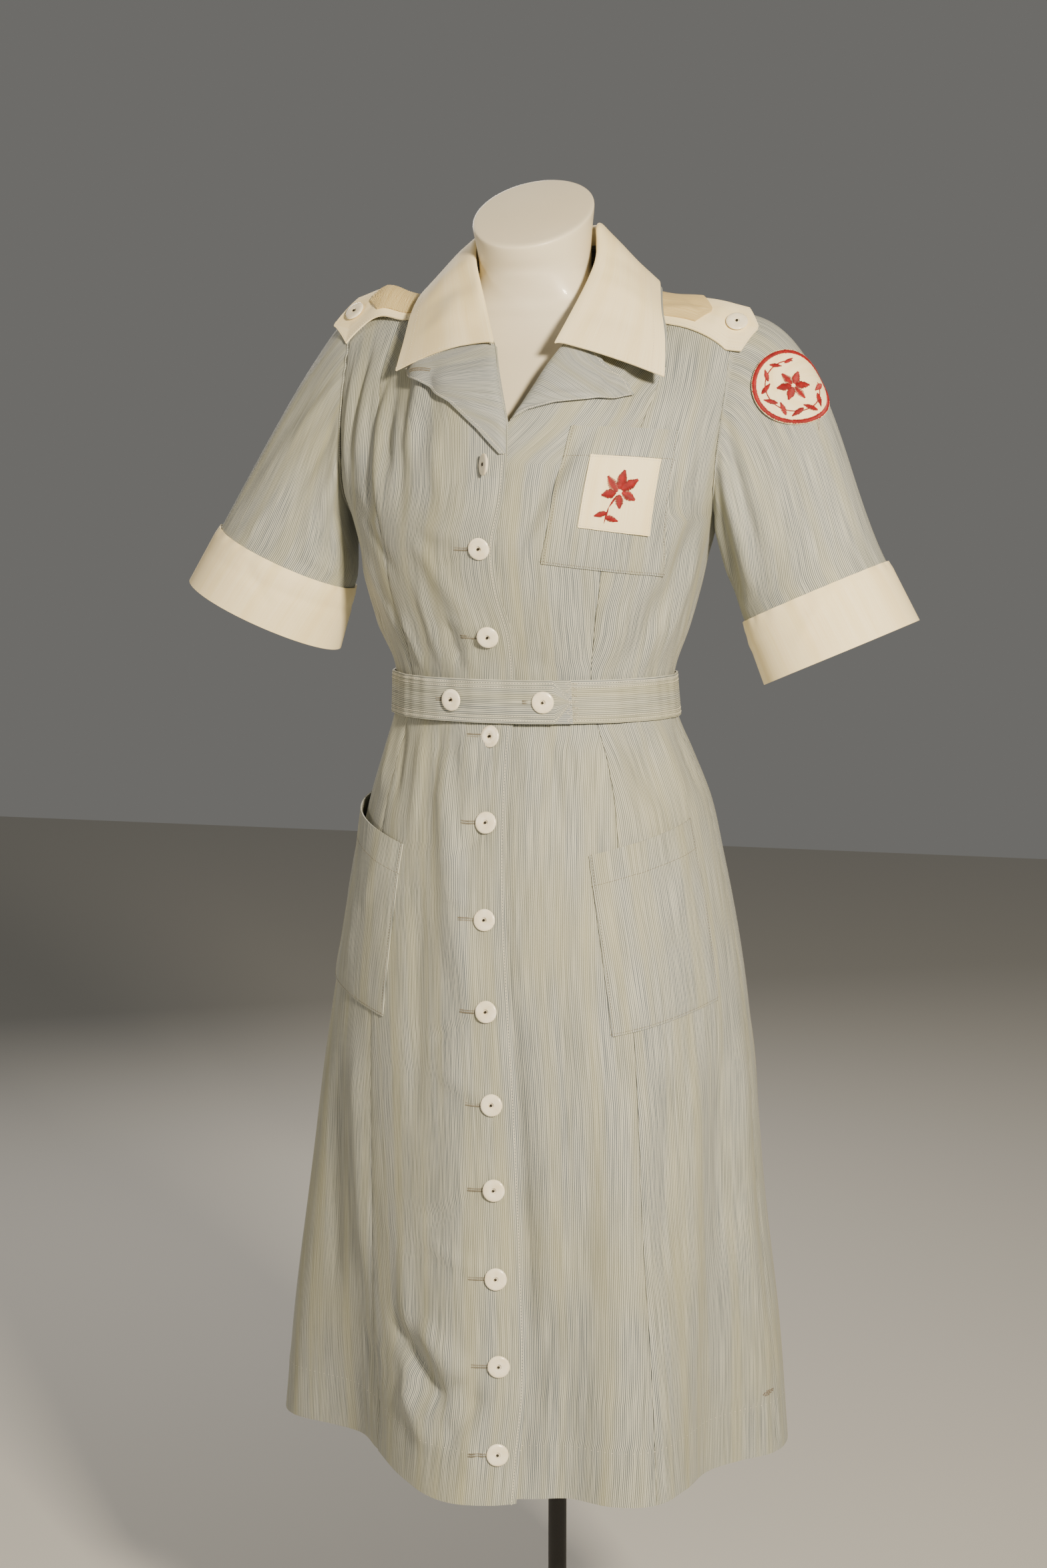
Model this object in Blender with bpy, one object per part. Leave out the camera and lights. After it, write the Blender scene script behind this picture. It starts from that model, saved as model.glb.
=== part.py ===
"""A nurse's short-sleeved uniform dress, buttoned and belted, on a limbless dress form with a pole stand.

The dress is cut in long princess panels from shoulder to hem. Every panel, pocket and belt is worked out
from one body surface, given by a table of sections, and each cloth piece is a thin closed wall.
Metres, +Z up. The front faces -Y and the wearer's left is +X. The origin is on the floor, under the form.
"""

import math

import bmesh
import bpy
import numpy as np
from mathutils import Matrix, Vector

CLOTH = 0.0016  # wall of the striped cotton
COVER = 0.0014  # wall of the white cotton covers
SEAM_GAP = 0.0003  # half of the clear space left at a seam
HEM_Z = 0.343
HIP_Z = 0.90
WAIST_Z = 1.02
UNDERARM_Z = 1.172
SHOULDER_LEVEL = 1.37  # level that the shoulder seam stands for, whatever its real height
LAP_LIFT = 0.0027  # how far the right front rises to pass over the left front
BELT_WIDTH = 0.037
BUTTON_RADIUS = 0.0095
BUTTON_THICKNESS = 0.0030
SLEEVE_SIDES = 22
CUFF_HEIGHT = 0.057
CUFF_RINGS = ((0.0, 0.0018), (0.20, 0.0030), (0.60, 0.0030), (1.0, 0.0030))  # drop, and stand-off
POLE_RADIUS = 0.0085
POLE_PLACE = (0.012, 0.036)
BASE_RADIUS = 0.190
BASE_THICKNESS = 0.012

LEFT, RIGHT = 1, -1  # the wearer's sides, as signs of X

# Body sections of the cloth. Above the underarm the level stands for a share of the way to the shoulder seam.
SECTIONS = [
    # level, half_width, front_depth, back_depth, middle_x
    (0.343, 0.2305, 0.1900, 0.1950, -0.002),
    (0.450, 0.2220, 0.1820, 0.1880, -0.001),
    (0.580, 0.2065, 0.1680, 0.1760, 0.000),
    (0.700, 0.1940, 0.1550, 0.1640, 0.003),
    (0.800, 0.1795, 0.1420, 0.1520, 0.005),
    (0.880, 0.1640, 0.1280, 0.1390, 0.005),
    (0.930, 0.1525, 0.1165, 0.1250, 0.005),
    (0.970, 0.1385, 0.1050, 0.1090, 0.003),
    (1.000, 0.1275, 0.0985, 0.0970, 0.001),
    (1.020, 0.1232, 0.0965, 0.0930, 0.000),
    (1.040, 0.1250, 0.0985, 0.0935, 0.000),
    (1.080, 0.1385, 0.1090, 0.0990, 0.000),
    (1.120, 0.1500, 0.1200, 0.1050, 0.000),
    (1.150, 0.1570, 0.1265, 0.1090, 0.000),
    (1.172, 0.1630, 0.1290, 0.1120, 0.000),
    (1.200, 0.1735, 0.1270, 0.1150, 0.000),
    (1.240, 0.1820, 0.1215, 0.1200, 0.000),
    (1.280, 0.1860, 0.1100, 0.1220, 0.000),
    (1.320, 0.1870, 0.0930, 0.1200, 0.000),
    (1.370, 0.1870, 0.0700, 0.1100, 0.000),
]

# The shoulder line, from the wearer's right to the left.
SHOULDER_RIDGE = [
    # x, z, y
    (-0.200, 1.3520, 0.030),
    (-0.178, 1.3590, 0.031),
    (-0.140, 1.3635, 0.032),
    (-0.100, 1.3665, 0.032),
    (-0.060, 1.3820, 0.026),
    (0.000, 1.3920, 0.020),
    (0.060, 1.3840, 0.026),
    (0.100, 1.3670, 0.032),
    (0.140, 1.3590, 0.032),
    (0.178, 1.3500, 0.031),
    (0.200, 1.3440, 0.030),
]

# Angles of the long seams, in degrees from the front. The dress hangs a little twisted on the form.
SEAMS = [
    # level, right_front, left_front, right_back, left_back
    (0.343, -33.0, 39.5, -141.0, 141.0),
    (0.574, -37.5, 39.0, -141.0, 141.0),
    (0.741, -43.0, 38.2, -141.0, 141.0),
    (0.892, -49.5, 37.2, -142.0, 142.0),
    (0.995, -51.5, 37.4, -143.0, 143.0),
    (1.040, -48.0, 35.6, -143.0, 143.0),
    (1.120, -46.0, 34.6, -141.0, 141.0),
    (1.250, -42.0, 38.6, -139.0, 139.0),
    (1.300, -42.0, 41.5, -139.0, 139.0),
    (1.370, -40.0, 40.0, -141.0, 141.0),
]

# The front closing: where the buttons sit, and how far the right front runs past them.
CLOSING = [
    # z, button_x, lap
    (0.343, 0.0205, 0.0160),
    (0.386, 0.0209, 0.0185),
    (0.462, 0.0205, 0.0225),
    (0.535, 0.0162, 0.0235),
    (0.610, 0.0125, 0.0225),
    (0.682, 0.0085, 0.0215),
    (0.760, 0.0010, 0.0220),
    (0.836, -0.0040, 0.0200),
    (0.917, -0.0075, 0.0185),
    (0.994, -0.0084, 0.0180),
    (1.040, -0.0090, 0.0215),
    (1.076, -0.0094, 0.0215),
    (1.115, -0.0110, 0.0150),
    (1.151, -0.0115, 0.0140),
    (1.190, -0.0075, 0.0180),
    (1.224, -0.0037, 0.0162),
]
UNDERLAP = 0.018

# Where each front is folded back to make its lapel, and so where its lying part ends above the closing.
ROLL_LINES = [
    # z, right_x, left_x
    (1.2240, 0.0125, -0.0217),
    (1.2400, 0.0120, -0.0040),
    (1.2560, 0.0106, 0.0111),
    (1.2720, 0.0060, 0.0210),
    (1.2960, -0.0017, 0.0335),
    (1.3200, -0.0090, 0.0465),
    (1.3560, -0.0400, 0.0575),
    (1.3920, -0.0720, 0.0720),
]

# The armhole edge, as angles from the front and from the back, by share of the way up to the shoulder.
ARMHOLE = [
    # share, front_angle, back_angle
    (0.00, 90.0, 90.0),
    (0.05, 81.5, 81.0),
    (0.12, 76.0, 74.5),
    (0.25, 71.5, 68.5),
    (0.45, 69.5, 66.0),
    (0.65, 70.0, 67.0),
    (0.80, 71.0, 69.0),
    (0.92, 72.0, 71.0),
    (1.00, 73.0, 73.0),
]

ARMHOLE_SHIFT = {RIGHT: 5.5, LEFT: 0.0}  # degrees that an armhole is set further in

# How far the hem stands out from its oval at each angle, and how far it is hitched up. Both fade to the hip.
HEM_WAVES = [
    # angle, out, up
    (-180.0, -0.006, 0.000),
    (-160.0, 0.010, 0.000),
    (-135.0, -0.012, 0.000),
    (-110.0, 0.004, 0.000),
    (-90.0, 0.008, 0.002),
    (-76.0, -0.006, 0.006),
    (-61.0, -0.038, 0.011),
    (-46.0, -0.050, 0.014),
    (-31.0, -0.034, 0.012),
    (-18.0, -0.012, 0.005),
    (-7.0, 0.007, 0.000),
    (4.0, 0.006, 0.000),
    (14.0, -0.010, 0.000),
    (22.0, -0.014, 0.000),
    (30.0, 0.008, 0.000),
    (39.0, 0.014, 0.000),
    (49.0, -0.004, 0.002),
    (61.0, -0.026, 0.003),
    (76.0, -0.024, 0.002),
    (90.0, -0.003, 0.000),
    (110.0, 0.004, 0.000),
    (135.0, -0.012, 0.000),
    (160.0, 0.010, 0.000),
    (180.0, -0.006, 0.000),
]

# The largest soft folds: each runs between two points and bends the cloth out or in.
FOLDS = [
    # angle_from, z_from, angle_to, z_to, out, half_width
    (-30.0, 1.330, -37.0, 1.200, -0.0045, 0.011),
    (-24.0, 1.330, -28.0, 1.215, 0.0035, 0.010),
    (-19.0, 1.310, -20.0, 1.230, -0.0035, 0.009),
    (-44.0, 1.335, -50.0, 1.205, 0.0035, 0.011),
    (38.0, 1.335, 33.0, 1.262, -0.0040, 0.011),
    (47.0, 1.330, 44.0, 1.260, 0.0030, 0.011),
    (22.0, 1.245, 8.0, 1.150, -0.0030, 0.010),
    (-30.0, 1.165, -2.0, 1.060, 0.0030, 0.011),
    (20.0, 1.125, 12.0, 1.050, 0.0025, 0.010),
    (60.0, 1.120, 52.0, 1.045, -0.0030, 0.010),
    (-24.0, 0.985, -8.0, 0.760, 0.0035, 0.012),
    (58.0, 0.990, 54.0, 0.925, -0.0040, 0.011),
]


def curve_through(rows):
    """A smooth function through a table: its first column is the key, and it returns the other columns."""
    table = np.array(rows, float)
    keys, values = table[:, 0], table[:, 1:]
    slopes = np.gradient(values, keys, axis=0)

    def at(key):
        key = np.clip(np.asarray(key, float), keys[0], keys[-1])
        i = np.clip(np.searchsorted(keys, key, "right") - 1, 0, len(keys) - 2)
        span = keys[i + 1] - keys[i]
        t = ((key - keys[i]) / span)[..., None]
        span = span[..., None]
        start, end = values[i], values[i + 1]
        rise = end - start
        leaving, arriving = slopes[i] * span, slopes[i + 1] * span
        bend = (3 * rise - 2 * leaving - arriving) * t**2
        return start + leaving * t + bend + (leaving + arriving - 2 * rise) * t**3

    return at


section_at = curve_through(SECTIONS)
ridge_at = curve_through(SHOULDER_RIDGE)
seam_at = curve_through(SEAMS)
closing_at = curve_through(CLOSING)
roll_at = curve_through(ROLL_LINES)
armhole_at = curve_through(ARMHOLE)
hem_wave_at = curve_through(HEM_WAVES)


def ease(x):
    """0 below 0, 1 above 1, and smooth between."""
    x = np.clip(x, 0.0, 1.0)
    return x * x * (3 - 2 * x)


def share_of(level):
    """How far a level is on the way from the underarm to the shoulder seam."""
    return np.clip((level - UNDERARM_Z) / (SHOULDER_LEVEL - UNDERARM_Z), 0.0, 1.0)


def round_power(x):
    """How round the shoulder is from front to back: full near the neck, sloping at the arm."""
    return 4.0 - 2.1 * ease((np.abs(x) - 0.05) / 0.07)


def fold_out(angle, z, half_width):
    """How far the folds move the cloth out, and up, at an angle in degrees and a height."""
    fade = np.clip((HIP_Z - z) / (HIP_Z - HEM_Z), 0.0, 1.0) ** 1.5
    turned = (angle + 180.0) % 360.0 - 180.0
    out, up = np.moveaxis(hem_wave_at(turned) * fade[..., None], -1, 0)
    for angle_from, z_from, angle_to, z_to, rise, width in FOLDS:
        along = (z_from - z) / (z_from - z_to)
        middle = angle_from + (angle_to - angle_from) * along
        across = np.radians(turned - middle) * half_width / width
        ends = ease(along / 0.25) * ease((1 - along) / 0.25)
        out = out + rise * np.exp(-across * across) * ends
    return out, up


def body(angle, level):
    """Points of the cloth's middle surface, for angles in degrees from the front and for levels."""
    angle, level = np.broadcast_arrays(np.asarray(angle, float), np.asarray(level, float))
    half_width, front, back, middle_x = np.moveaxis(section_at(level), -1, 0)
    sine, cosine = np.sin(np.radians(angle)), np.cos(np.radians(angle))
    at_front = cosine > 0
    x = middle_x + half_width * sine
    y = -np.where(at_front, front, back) * cosine
    share = share_of(level)
    ridge_z, ridge_y = np.moveaxis(ridge_at(x), -1, 0)
    z = np.where(share > 0, UNDERARM_Z + share * (ridge_z - UNDERARM_Z), level)
    rounding = np.sqrt(np.clip(1 - share ** round_power(x), 0.0, 1.0))
    out, up = fold_out(angle, z, half_width)
    out = out * rounding
    x = x + out * sine
    y = y - out * cosine
    apart = np.where(at_front, -1.0, 1.0) * (SEAM_GAP + 0.0002) * share
    y = np.where(share > 0, ridge_y + (y - ridge_y) * rounding + apart, y)
    return np.stack([x, y, z + up], -1)


def body_normal(angle, level):
    """Outward directions of the cloth's surface."""
    step_angle, step_level = 0.05, 0.0002
    level = np.minimum(np.asarray(level, float), SHOULDER_LEVEL - step_level)
    around = body(np.asarray(angle) + step_angle, level) - body(np.asarray(angle) - step_angle, level)
    up = body(angle, level + step_level) - body(angle, level - step_level)
    normal = np.cross(around, up)
    return normal / np.linalg.norm(normal, axis=-1, keepdims=True)


def lifted(angle, level, lift):
    """Points of the body surface, moved out by a lift."""
    lift = np.broadcast_to(lift, np.broadcast(angle, level).shape)
    return body(angle, level) + body_normal(angle, level) * lift[..., None]


def level_at(x, z):
    """The level of a point on the surface, from its real height."""
    ridge_z = ridge_at(x)[..., 0]
    share = (z - UNDERARM_Z) / (ridge_z - UNDERARM_Z)
    return np.where(z > UNDERARM_Z, UNDERARM_Z + share * (SHOULDER_LEVEL - UNDERARM_Z), z)


def front_angle(x, level):
    """The angle from the front at which the surface has this X."""
    half_width, _, _, middle_x = np.moveaxis(section_at(level), -1, 0)
    return np.degrees(np.arcsin(np.clip((x - middle_x) / half_width, -1.0, 1.0)))


def front_place(x, z, lift):
    """The point of the front surface at X and Z, moved out by a lift."""
    level = level_at(np.asarray(x, float), np.asarray(z, float))
    return lifted(front_angle(np.asarray(x, float), level), level, lift)


def material(name, colour, roughness, metallic=0.0):
    made = bpy.data.materials.new(name)
    made.use_nodes = True
    shader = made.node_tree.nodes["Principled BSDF"]
    shader.inputs["Base Color"].default_value = (*colour, 1.0)
    shader.inputs["Roughness"].default_value = roughness
    shader.inputs["Metallic"].default_value = metallic
    made.diffuse_color = (*colour, 1.0)
    return made


def add_object(name, mesh, finish):
    shape = bmesh.new()
    shape.from_mesh(mesh)
    bmesh.ops.recalc_face_normals(shape, faces=shape.faces)
    if shape.calc_volume(signed=True) < 0:
        bmesh.ops.reverse_faces(shape, faces=shape.faces)
    shape.to_mesh(mesh)
    shape.free()
    mesh.materials.append(finish)
    mesh.shade_smooth()
    mesh.set_sharp_from_angle(angle=math.radians(40))
    made = bpy.data.objects.new(name, mesh)
    bpy.context.scene.collection.objects.link(made)
    return made


def grid_normals(points, closed):
    """Directions square to a grid of points, from its neighbours."""
    if closed:
        across = np.roll(points, -1, 0) - np.roll(points, 1, 0)
    else:
        across = np.gradient(points, axis=0)
    along = np.gradient(points, axis=1)
    normal = np.cross(across, along)
    return normal / np.maximum(np.linalg.norm(normal, axis=-1, keepdims=True), 1e-9)


def cloth_wall(name, points, thickness, finish, closed=False):
    """A closed thin wall round a grid of middle points. A closed grid is a tube round its first axis."""
    across, along = points.shape[:2]
    normal = grid_normals(points, closed)
    front = points + normal * thickness / 2
    back = points - normal * thickness / 2
    vertices = np.concatenate([front.reshape(-1, 3), back.reshape(-1, 3)])
    under = across * along
    faces = []

    def index(i, j):
        return (i % across) * along + j

    steps = across if closed else across - 1
    for i in range(steps):
        for j in range(along - 1):
            corners = [index(i, j), index(i + 1, j), index(i + 1, j + 1), index(i, j + 1)]
            faces.append(corners)
            faces.append([under + c for c in reversed(corners)])
    rim = []
    for i in range(steps):
        rim.append((index(i + 1, 0), index(i, 0)))
        rim.append((index(i, along - 1), index(i + 1, along - 1)))
    if not closed:
        for j in range(along - 1):
            rim.append((index(0, j), index(0, j + 1)))
            rim.append((index(across - 1, j + 1), index(across - 1, j)))
    for a, b in rim:
        faces.append([b, a, under + a, under + b])
    mesh = bpy.data.meshes.new(name)
    mesh.from_pydata(vertices.tolist(), [], faces)
    return add_object(name, mesh, finish)


def turned(name, profile, sides, finish, place=Matrix.Identity(4)):
    """A solid of revolution. The profile runs from the axis at the bottom to the axis at the top."""
    shape = bmesh.new()
    rings = []
    for radius, height in profile:
        if radius == 0:
            rings.append([shape.verts.new((0, 0, height))])
            continue
        ring = []
        for k in range(sides):
            angle = 2 * math.pi * k / sides
            ring.append(shape.verts.new((radius * math.cos(angle), radius * math.sin(angle), height)))
        rings.append(ring)
    for low, high in zip(rings, rings[1:]):
        for k in range(sides):
            under = [low[k % len(low)], low[(k + 1) % len(low)]]
            over = [high[(k + 1) % len(high)], high[k % len(high)]]
            shape.faces.new(list(dict.fromkeys(under + over)))
    mesh = bpy.data.meshes.new(name)
    shape.to_mesh(mesh)
    shape.free()
    made = add_object(name, mesh, finish)
    made.matrix_world = place
    return made


LOWER_LEVELS = (0.343, 0.40, 0.48, 0.57, 0.66, 0.75, 0.82, 0.88, 0.93, 0.97, 1.00, 1.02, 1.045, 1.085, 1.13)
SHARES_UP = (0.0, 0.15, 0.32, 0.48, 0.63, 0.76, 0.86, 0.93, 0.975, 1.0)
LEVELS = np.array(
    list(LOWER_LEVELS) + [UNDERARM_Z + share * (SHOULDER_LEVEL - UNDERARM_Z) for share in SHARES_UP]
)


def inner_front_x(side, level):
    """X of a front's inner edge: the lap edge or underlap edge, and above them the roll line."""
    column = 0 if side == RIGHT else 1
    x = np.zeros_like(level)
    for _ in range(6):
        share = share_of(level)
        z = np.where(share > 0, UNDERARM_Z + share * (ridge_at(x)[..., 0] - UNDERARM_Z), level)
        button_x, lap = np.moveaxis(closing_at(z), -1, 0)
        closed_x = button_x + lap if side == RIGHT else button_x - UNDERLAP
        x = np.where(z > ROLL_LINES[0][0], roll_at(z)[..., column], closed_x)
    return x


def seam_angle(level, column):
    return seam_at(level)[..., column]


def armhole_angle(side, level, at_front):
    """The angle of the armhole edge above the underarm, and of the side seam below it."""
    share = share_of(level)
    front, back = np.moveaxis(armhole_at(share), -1, 0)
    shift = ARMHOLE_SHIFT[side] * ease(share / 0.3)
    return side * (front - shift if at_front else 180.0 - back + shift)


def panel_points(edges, columns, levels, lift):
    """A grid across a panel. The edges are angles for each level, and columns are counts between them."""
    trim = np.degrees(SEAM_GAP / section_at(levels)[..., 0]) * np.sign(edges[-1] - edges[0])
    edges = [edges[0] + trim, *edges[1:-1], edges[-1] - trim]
    rows = [edges[0]]
    for near, far, count in zip(edges, edges[1:], columns):
        rows += [near + (far - near) * step / count for step in range(1, count + 1)]
    angle = np.array(rows)
    level = np.broadcast_to(levels, angle.shape)
    return lifted(angle, level, lift(angle, level) if callable(lift) else lift)


def lap_lift(angle, level):
    """The right front rises over the left front near the closing."""
    x, _, z = np.moveaxis(body(angle, level), -1, 0)
    button_x = closing_at(z)[..., 0]
    return LAP_LIFT * ease((x - button_x + 0.060) / 0.034)


def back_neck_level(angle):
    """The level where the back ends: the shoulder seam, and the rounded neckline between the shoulders."""
    half_width = section_at(SHOULDER_LEVEL)[..., 0]
    x = half_width * np.sin(np.radians(angle))
    inside = np.sqrt(np.clip(1 - (x / 0.060) ** 2, 0.0, 1.0))
    share = (1 - (0.50 * inside) ** 2) ** 0.25
    return UNDERARM_Z + share * (SHOULDER_LEVEL - UNDERARM_Z)


def make_panels(striped):
    """The seven long panels: two fronts, two side fronts, two side backs and one centre back."""
    inner_x = {side: inner_front_x(side, LEVELS) for side in (RIGHT, LEFT)}
    doubled = closing_at(LEVELS)[..., 1] + UNDERLAP
    for side, word, column in ((RIGHT, "right", 0), (LEFT, "left", 1)):
        inner = front_angle(inner_x[side], LEVELS)
        lapped = front_angle(inner_x[side] + side * doubled, LEVELS)
        seam = seam_angle(LEVELS, column)
        lift = lap_lift if side == RIGHT else 0.0
        points = panel_points((inner, lapped, seam), (3, 5), LEVELS, lift)
        cloth_wall(f"front_{word}", points, CLOTH, striped)
        arm = armhole_angle(side, LEVELS, True)
        cloth_wall(f"side_front_{word}", panel_points((seam, arm), (6,), LEVELS, 0.0), CLOTH, striped)
        arm = armhole_angle(side, LEVELS, False)
        seam = seam_angle(LEVELS, column + 2)
        cloth_wall(f"side_back_{word}", panel_points((arm, seam), (6,), LEVELS, 0.0), CLOTH, striped)
    right, left = seam_angle(LEVELS, 2) + 360.0, seam_angle(LEVELS, 3)
    columns = np.linspace(0.0, 1.0, 12)[:, None]
    trim = np.degrees(SEAM_GAP / section_at(LEVELS)[..., 0])
    angle = left + trim + (right - left - 2 * trim) * columns
    squeeze = (back_neck_level(angle) - UNDERARM_Z) / (SHOULDER_LEVEL - UNDERARM_Z)
    level = np.where(LEVELS > UNDERARM_Z, UNDERARM_Z + (LEVELS - UNDERARM_Z) * squeeze, LEVELS)
    cloth_wall("back_centre", lifted(angle, level, 0.0), CLOTH, striped)


# Sleeves: where each ends, and how wide its end and its cuff are.
SLEEVE_ENDS = {
    # side: cuff top centre (x, z), cuff bottom centre (x, z), half widths across, half depths
    RIGHT: ((-0.2338, 1.1368), (-0.2577, 1.0850), (0.0660, 0.0725), (0.057, 0.060)),
    LEFT: ((0.2500, 1.1115), (0.2728, 1.0593), (0.0655, 0.0685), (0.057, 0.060)),
}
SLEEVE_END_Y = 0.004


def armhole_ring(side, count):
    """Evenly spaced points round the armhole: over the top, down the front, and up the back."""
    shares = 1 - np.linspace(0.0, 1.0, 160) ** 1.6
    levels = UNDERARM_Z + shares * (SHOULDER_LEVEL - UNDERARM_Z)
    front = body(armhole_angle(side, levels, True), levels)
    back = body(armhole_angle(side, levels, False), levels)[::-1]
    path = np.concatenate([front, back[1:]])
    run = np.concatenate([[0.0], np.cumsum(np.linalg.norm(np.diff(path, axis=0), axis=1))])
    wanted = np.linspace(0.0, run[-1], count + 1)[:-1]
    return np.stack([np.interp(wanted, run, path[:, k]) for k in range(3)], -1)


def cuff_ring(side, phase, drop, out=0.0):
    """A ring across the sleeve's end: drop 0 at the cuff's top edge, 1 at its bottom edge."""
    (top_x, top_z), (low_x, low_z), wide, deep = SLEEVE_ENDS[side]
    axis = np.array([low_x - top_x, 0.0, low_z - top_z])
    axis = axis / np.linalg.norm(axis)
    outward = np.array([-axis[2] * side, 0.0, axis[0] * side])
    centre = np.array([top_x, SLEEVE_END_Y, top_z]) + axis * CUFF_HEIGHT * drop
    half_wide = wide[0] + (wide[1] - wide[0]) * drop + out
    half_deep = deep[0] + (deep[1] - deep[0]) * drop + out
    across = outward * (half_wide * np.cos(phase))[:, None]
    return centre + across - np.array([0.0, 1.0, 0.0]) * (half_deep * np.sin(phase))[:, None]


SLEEVE_BEND_END = -0.12  # where the sleeve's curve becomes straight, as a drop above the cuff
SLEEVE_HEAD = {RIGHT: (0.32, 0.18), LEFT: (0.48, 0.60)}  # how broad and how level the sleeve head is
SLEEVE_PULL = {RIGHT: 0.12, LEFT: 0.50}  # how far over the top the sleeve keeps the slope of its head
SLEEVE_INSIDE = 0.80  # how far it runs inside the cuff


def sleeve_point(side, turn, along):
    """Points of the sleeve. The turn runs over the top, front, underarm and back, from 0 to 1.

    Along is 0 at the armhole, 1 just above the cuff and 2 at the sleeve's edge inside the cuff.
    """
    turn, along = np.asarray(turn, float), np.asarray(along, float)
    count = 360
    ring = armhole_ring(side, count)
    place = (turn % 1.0) * count
    low = place.astype(int) % count
    start = ring[low] + (ring[(low + 1) % count] - ring[low]) * (place % 1.0)[:, None]
    phase = 2 * np.pi * turn
    cosine, sine = np.cos(phase), np.sin(phase)
    end = cuff_ring(side, phase, SLEEVE_BEND_END)
    edge = cuff_ring(side, phase, SLEEVE_INSIDE)
    arrive = (edge - end) / np.linalg.norm(edge - end, axis=-1, keepdims=True)
    broad, drop = SLEEVE_HEAD[side]
    leave = np.stack([side * (0.50 + broad * cosine), -0.16 * sine, -(0.70 - drop * cosine)], -1)
    leave = leave / np.linalg.norm(leave, axis=-1, keepdims=True)
    under = np.clip(-cosine, 0.0, 1.0)[:, None]
    pull = 0.40 + SLEEVE_PULL[side] * np.clip(cosine, 0.0, 1.0)[:, None, None]
    start = start + leave * 0.0013 + np.array([side, 0.0, 0.0]) * 0.0016 * under
    reach = np.linalg.norm(end - start, axis=-1, keepdims=True)
    start, end, leave, reach, arrive, edge = (v[:, None] for v in (start, end, leave, reach, arrive, edge))
    t = np.clip(along, 0.0, 1.0)[None, :, None]
    past = np.clip(along - 1.0, 0.0, 1.0)[None, :, None]
    curve = (
        start * (2 * t**3 - 3 * t**2 + 1)
        + leave * reach * pull * (t**3 - 2 * t**2 + t)
        + end * (3 * t**2 - 2 * t**3)
        + arrive * reach * pull * (t**3 - t**2)
    )
    return curve + (edge - end) * past


def make_sleeves(striped, white):
    turns = np.arange(SLEEVE_SIDES) / SLEEVE_SIDES
    along = np.array([0.0, 0.07, 0.18, 0.32, 0.48, 0.66, 0.84, 1.0, 1.45, 2.0])
    for side, word in ((RIGHT, "right"), (LEFT, "left")):
        points = sleeve_point(side, turns[::side], along)
        cloth_wall(f"sleeve_{word}", points, CLOTH, striped, closed=True)
        phase = 2 * np.pi * turns[::side]
        rings = [cuff_ring(side, phase, drop, out) for drop, out in CUFF_RINGS]
        cloth_wall(f"cuff_{word}", np.stack(rings, 1), COVER, white, closed=True)


# The collar, from the centre back to its front ends: its fold line at the neck and its outer edge.
COLLAR = {
    LEFT: [
        # station, fold x, y, z, outer x, y, z
        (0.00, 0.0000, 0.0560, 1.4300, 0.0000, 0.0960, 1.3640),
        (0.18, 0.0300, 0.0480, 1.4300, 0.0520, 0.0880, 1.3600),
        (0.36, 0.0495, 0.0280, 1.4295, 0.0870, 0.0620, 1.3690),
        (0.52, 0.0560, 0.0030, 1.4270, 0.1050, 0.0260, 1.3760),
        (0.68, 0.0625, -0.0220, 1.4000, 0.1180, -0.0220, 1.3550),
        (0.84, 0.0575, -0.0500, 1.3680, 0.1290, -0.0520, 1.3260),
        (1.00, 0.0455, -0.0930, 1.3235, 0.1345, -0.0760, 1.2940),
    ],
    RIGHT: [
        (0.00, 0.0000, 0.0560, 1.4300, 0.0000, 0.0960, 1.3640),
        (0.18, -0.0300, 0.0480, 1.4290, -0.0520, 0.0880, 1.3600),
        (0.36, -0.0490, 0.0280, 1.4260, -0.0860, 0.0620, 1.3700),
        (0.52, -0.0540, 0.0020, 1.4160, -0.1000, 0.0220, 1.3765),
        (0.68, -0.0448, -0.0330, 1.3960, -0.1050, -0.0220, 1.3520),
        (0.84, -0.0290, -0.0620, 1.3625, -0.1030, -0.0520, 1.3270),
        (1.00, -0.0100, -0.0970, 1.3236, -0.1014, -0.0800, 1.3005),
    ],
}
collar_at = {side: curve_through(rows) for side, rows in COLLAR.items()}
COLLAR_STAND = 0.018
COLLAR_CROWN = {LEFT: 0.004, RIGHT: 0.010}
COLLAR_LIFT = 0.0107
COLLAR_SHARES = np.array([-1.0, -0.4, -0.1, 0.05, 0.2, 0.42, 0.7, 1.0])
COLLAR_SPACE = 0.0030  # between the middles of the white cover and the striped collar under it


def top_height(x, y):
    """Height of the dress surface at X and Y near the shoulders. It runs on level past the armhole."""
    inside = np.clip(x, -0.172, 0.172)
    ridge_z, ridge_y = np.moveaxis(ridge_at(inside), -1, 0)
    share = np.ones_like(inside)
    for _ in range(5):
        section = section_at(UNDERARM_Z + share * (SHOULDER_LEVEL - UNDERARM_Z))
        half_width, front, back = section[..., 0], section[..., 1], section[..., 2]
        cosine = np.sqrt(1 - np.clip(inside / half_width, -0.999, 0.999) ** 2)
        depth = np.where(y < ridge_y, -front * cosine, back * cosine) - ridge_y
        share = (1 - np.clip((y - ridge_y) / depth, 0.0, 0.999) ** 2) ** (1 / round_power(inside))
    return UNDERARM_Z + share * (ridge_z - UNDERARM_Z)


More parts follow.
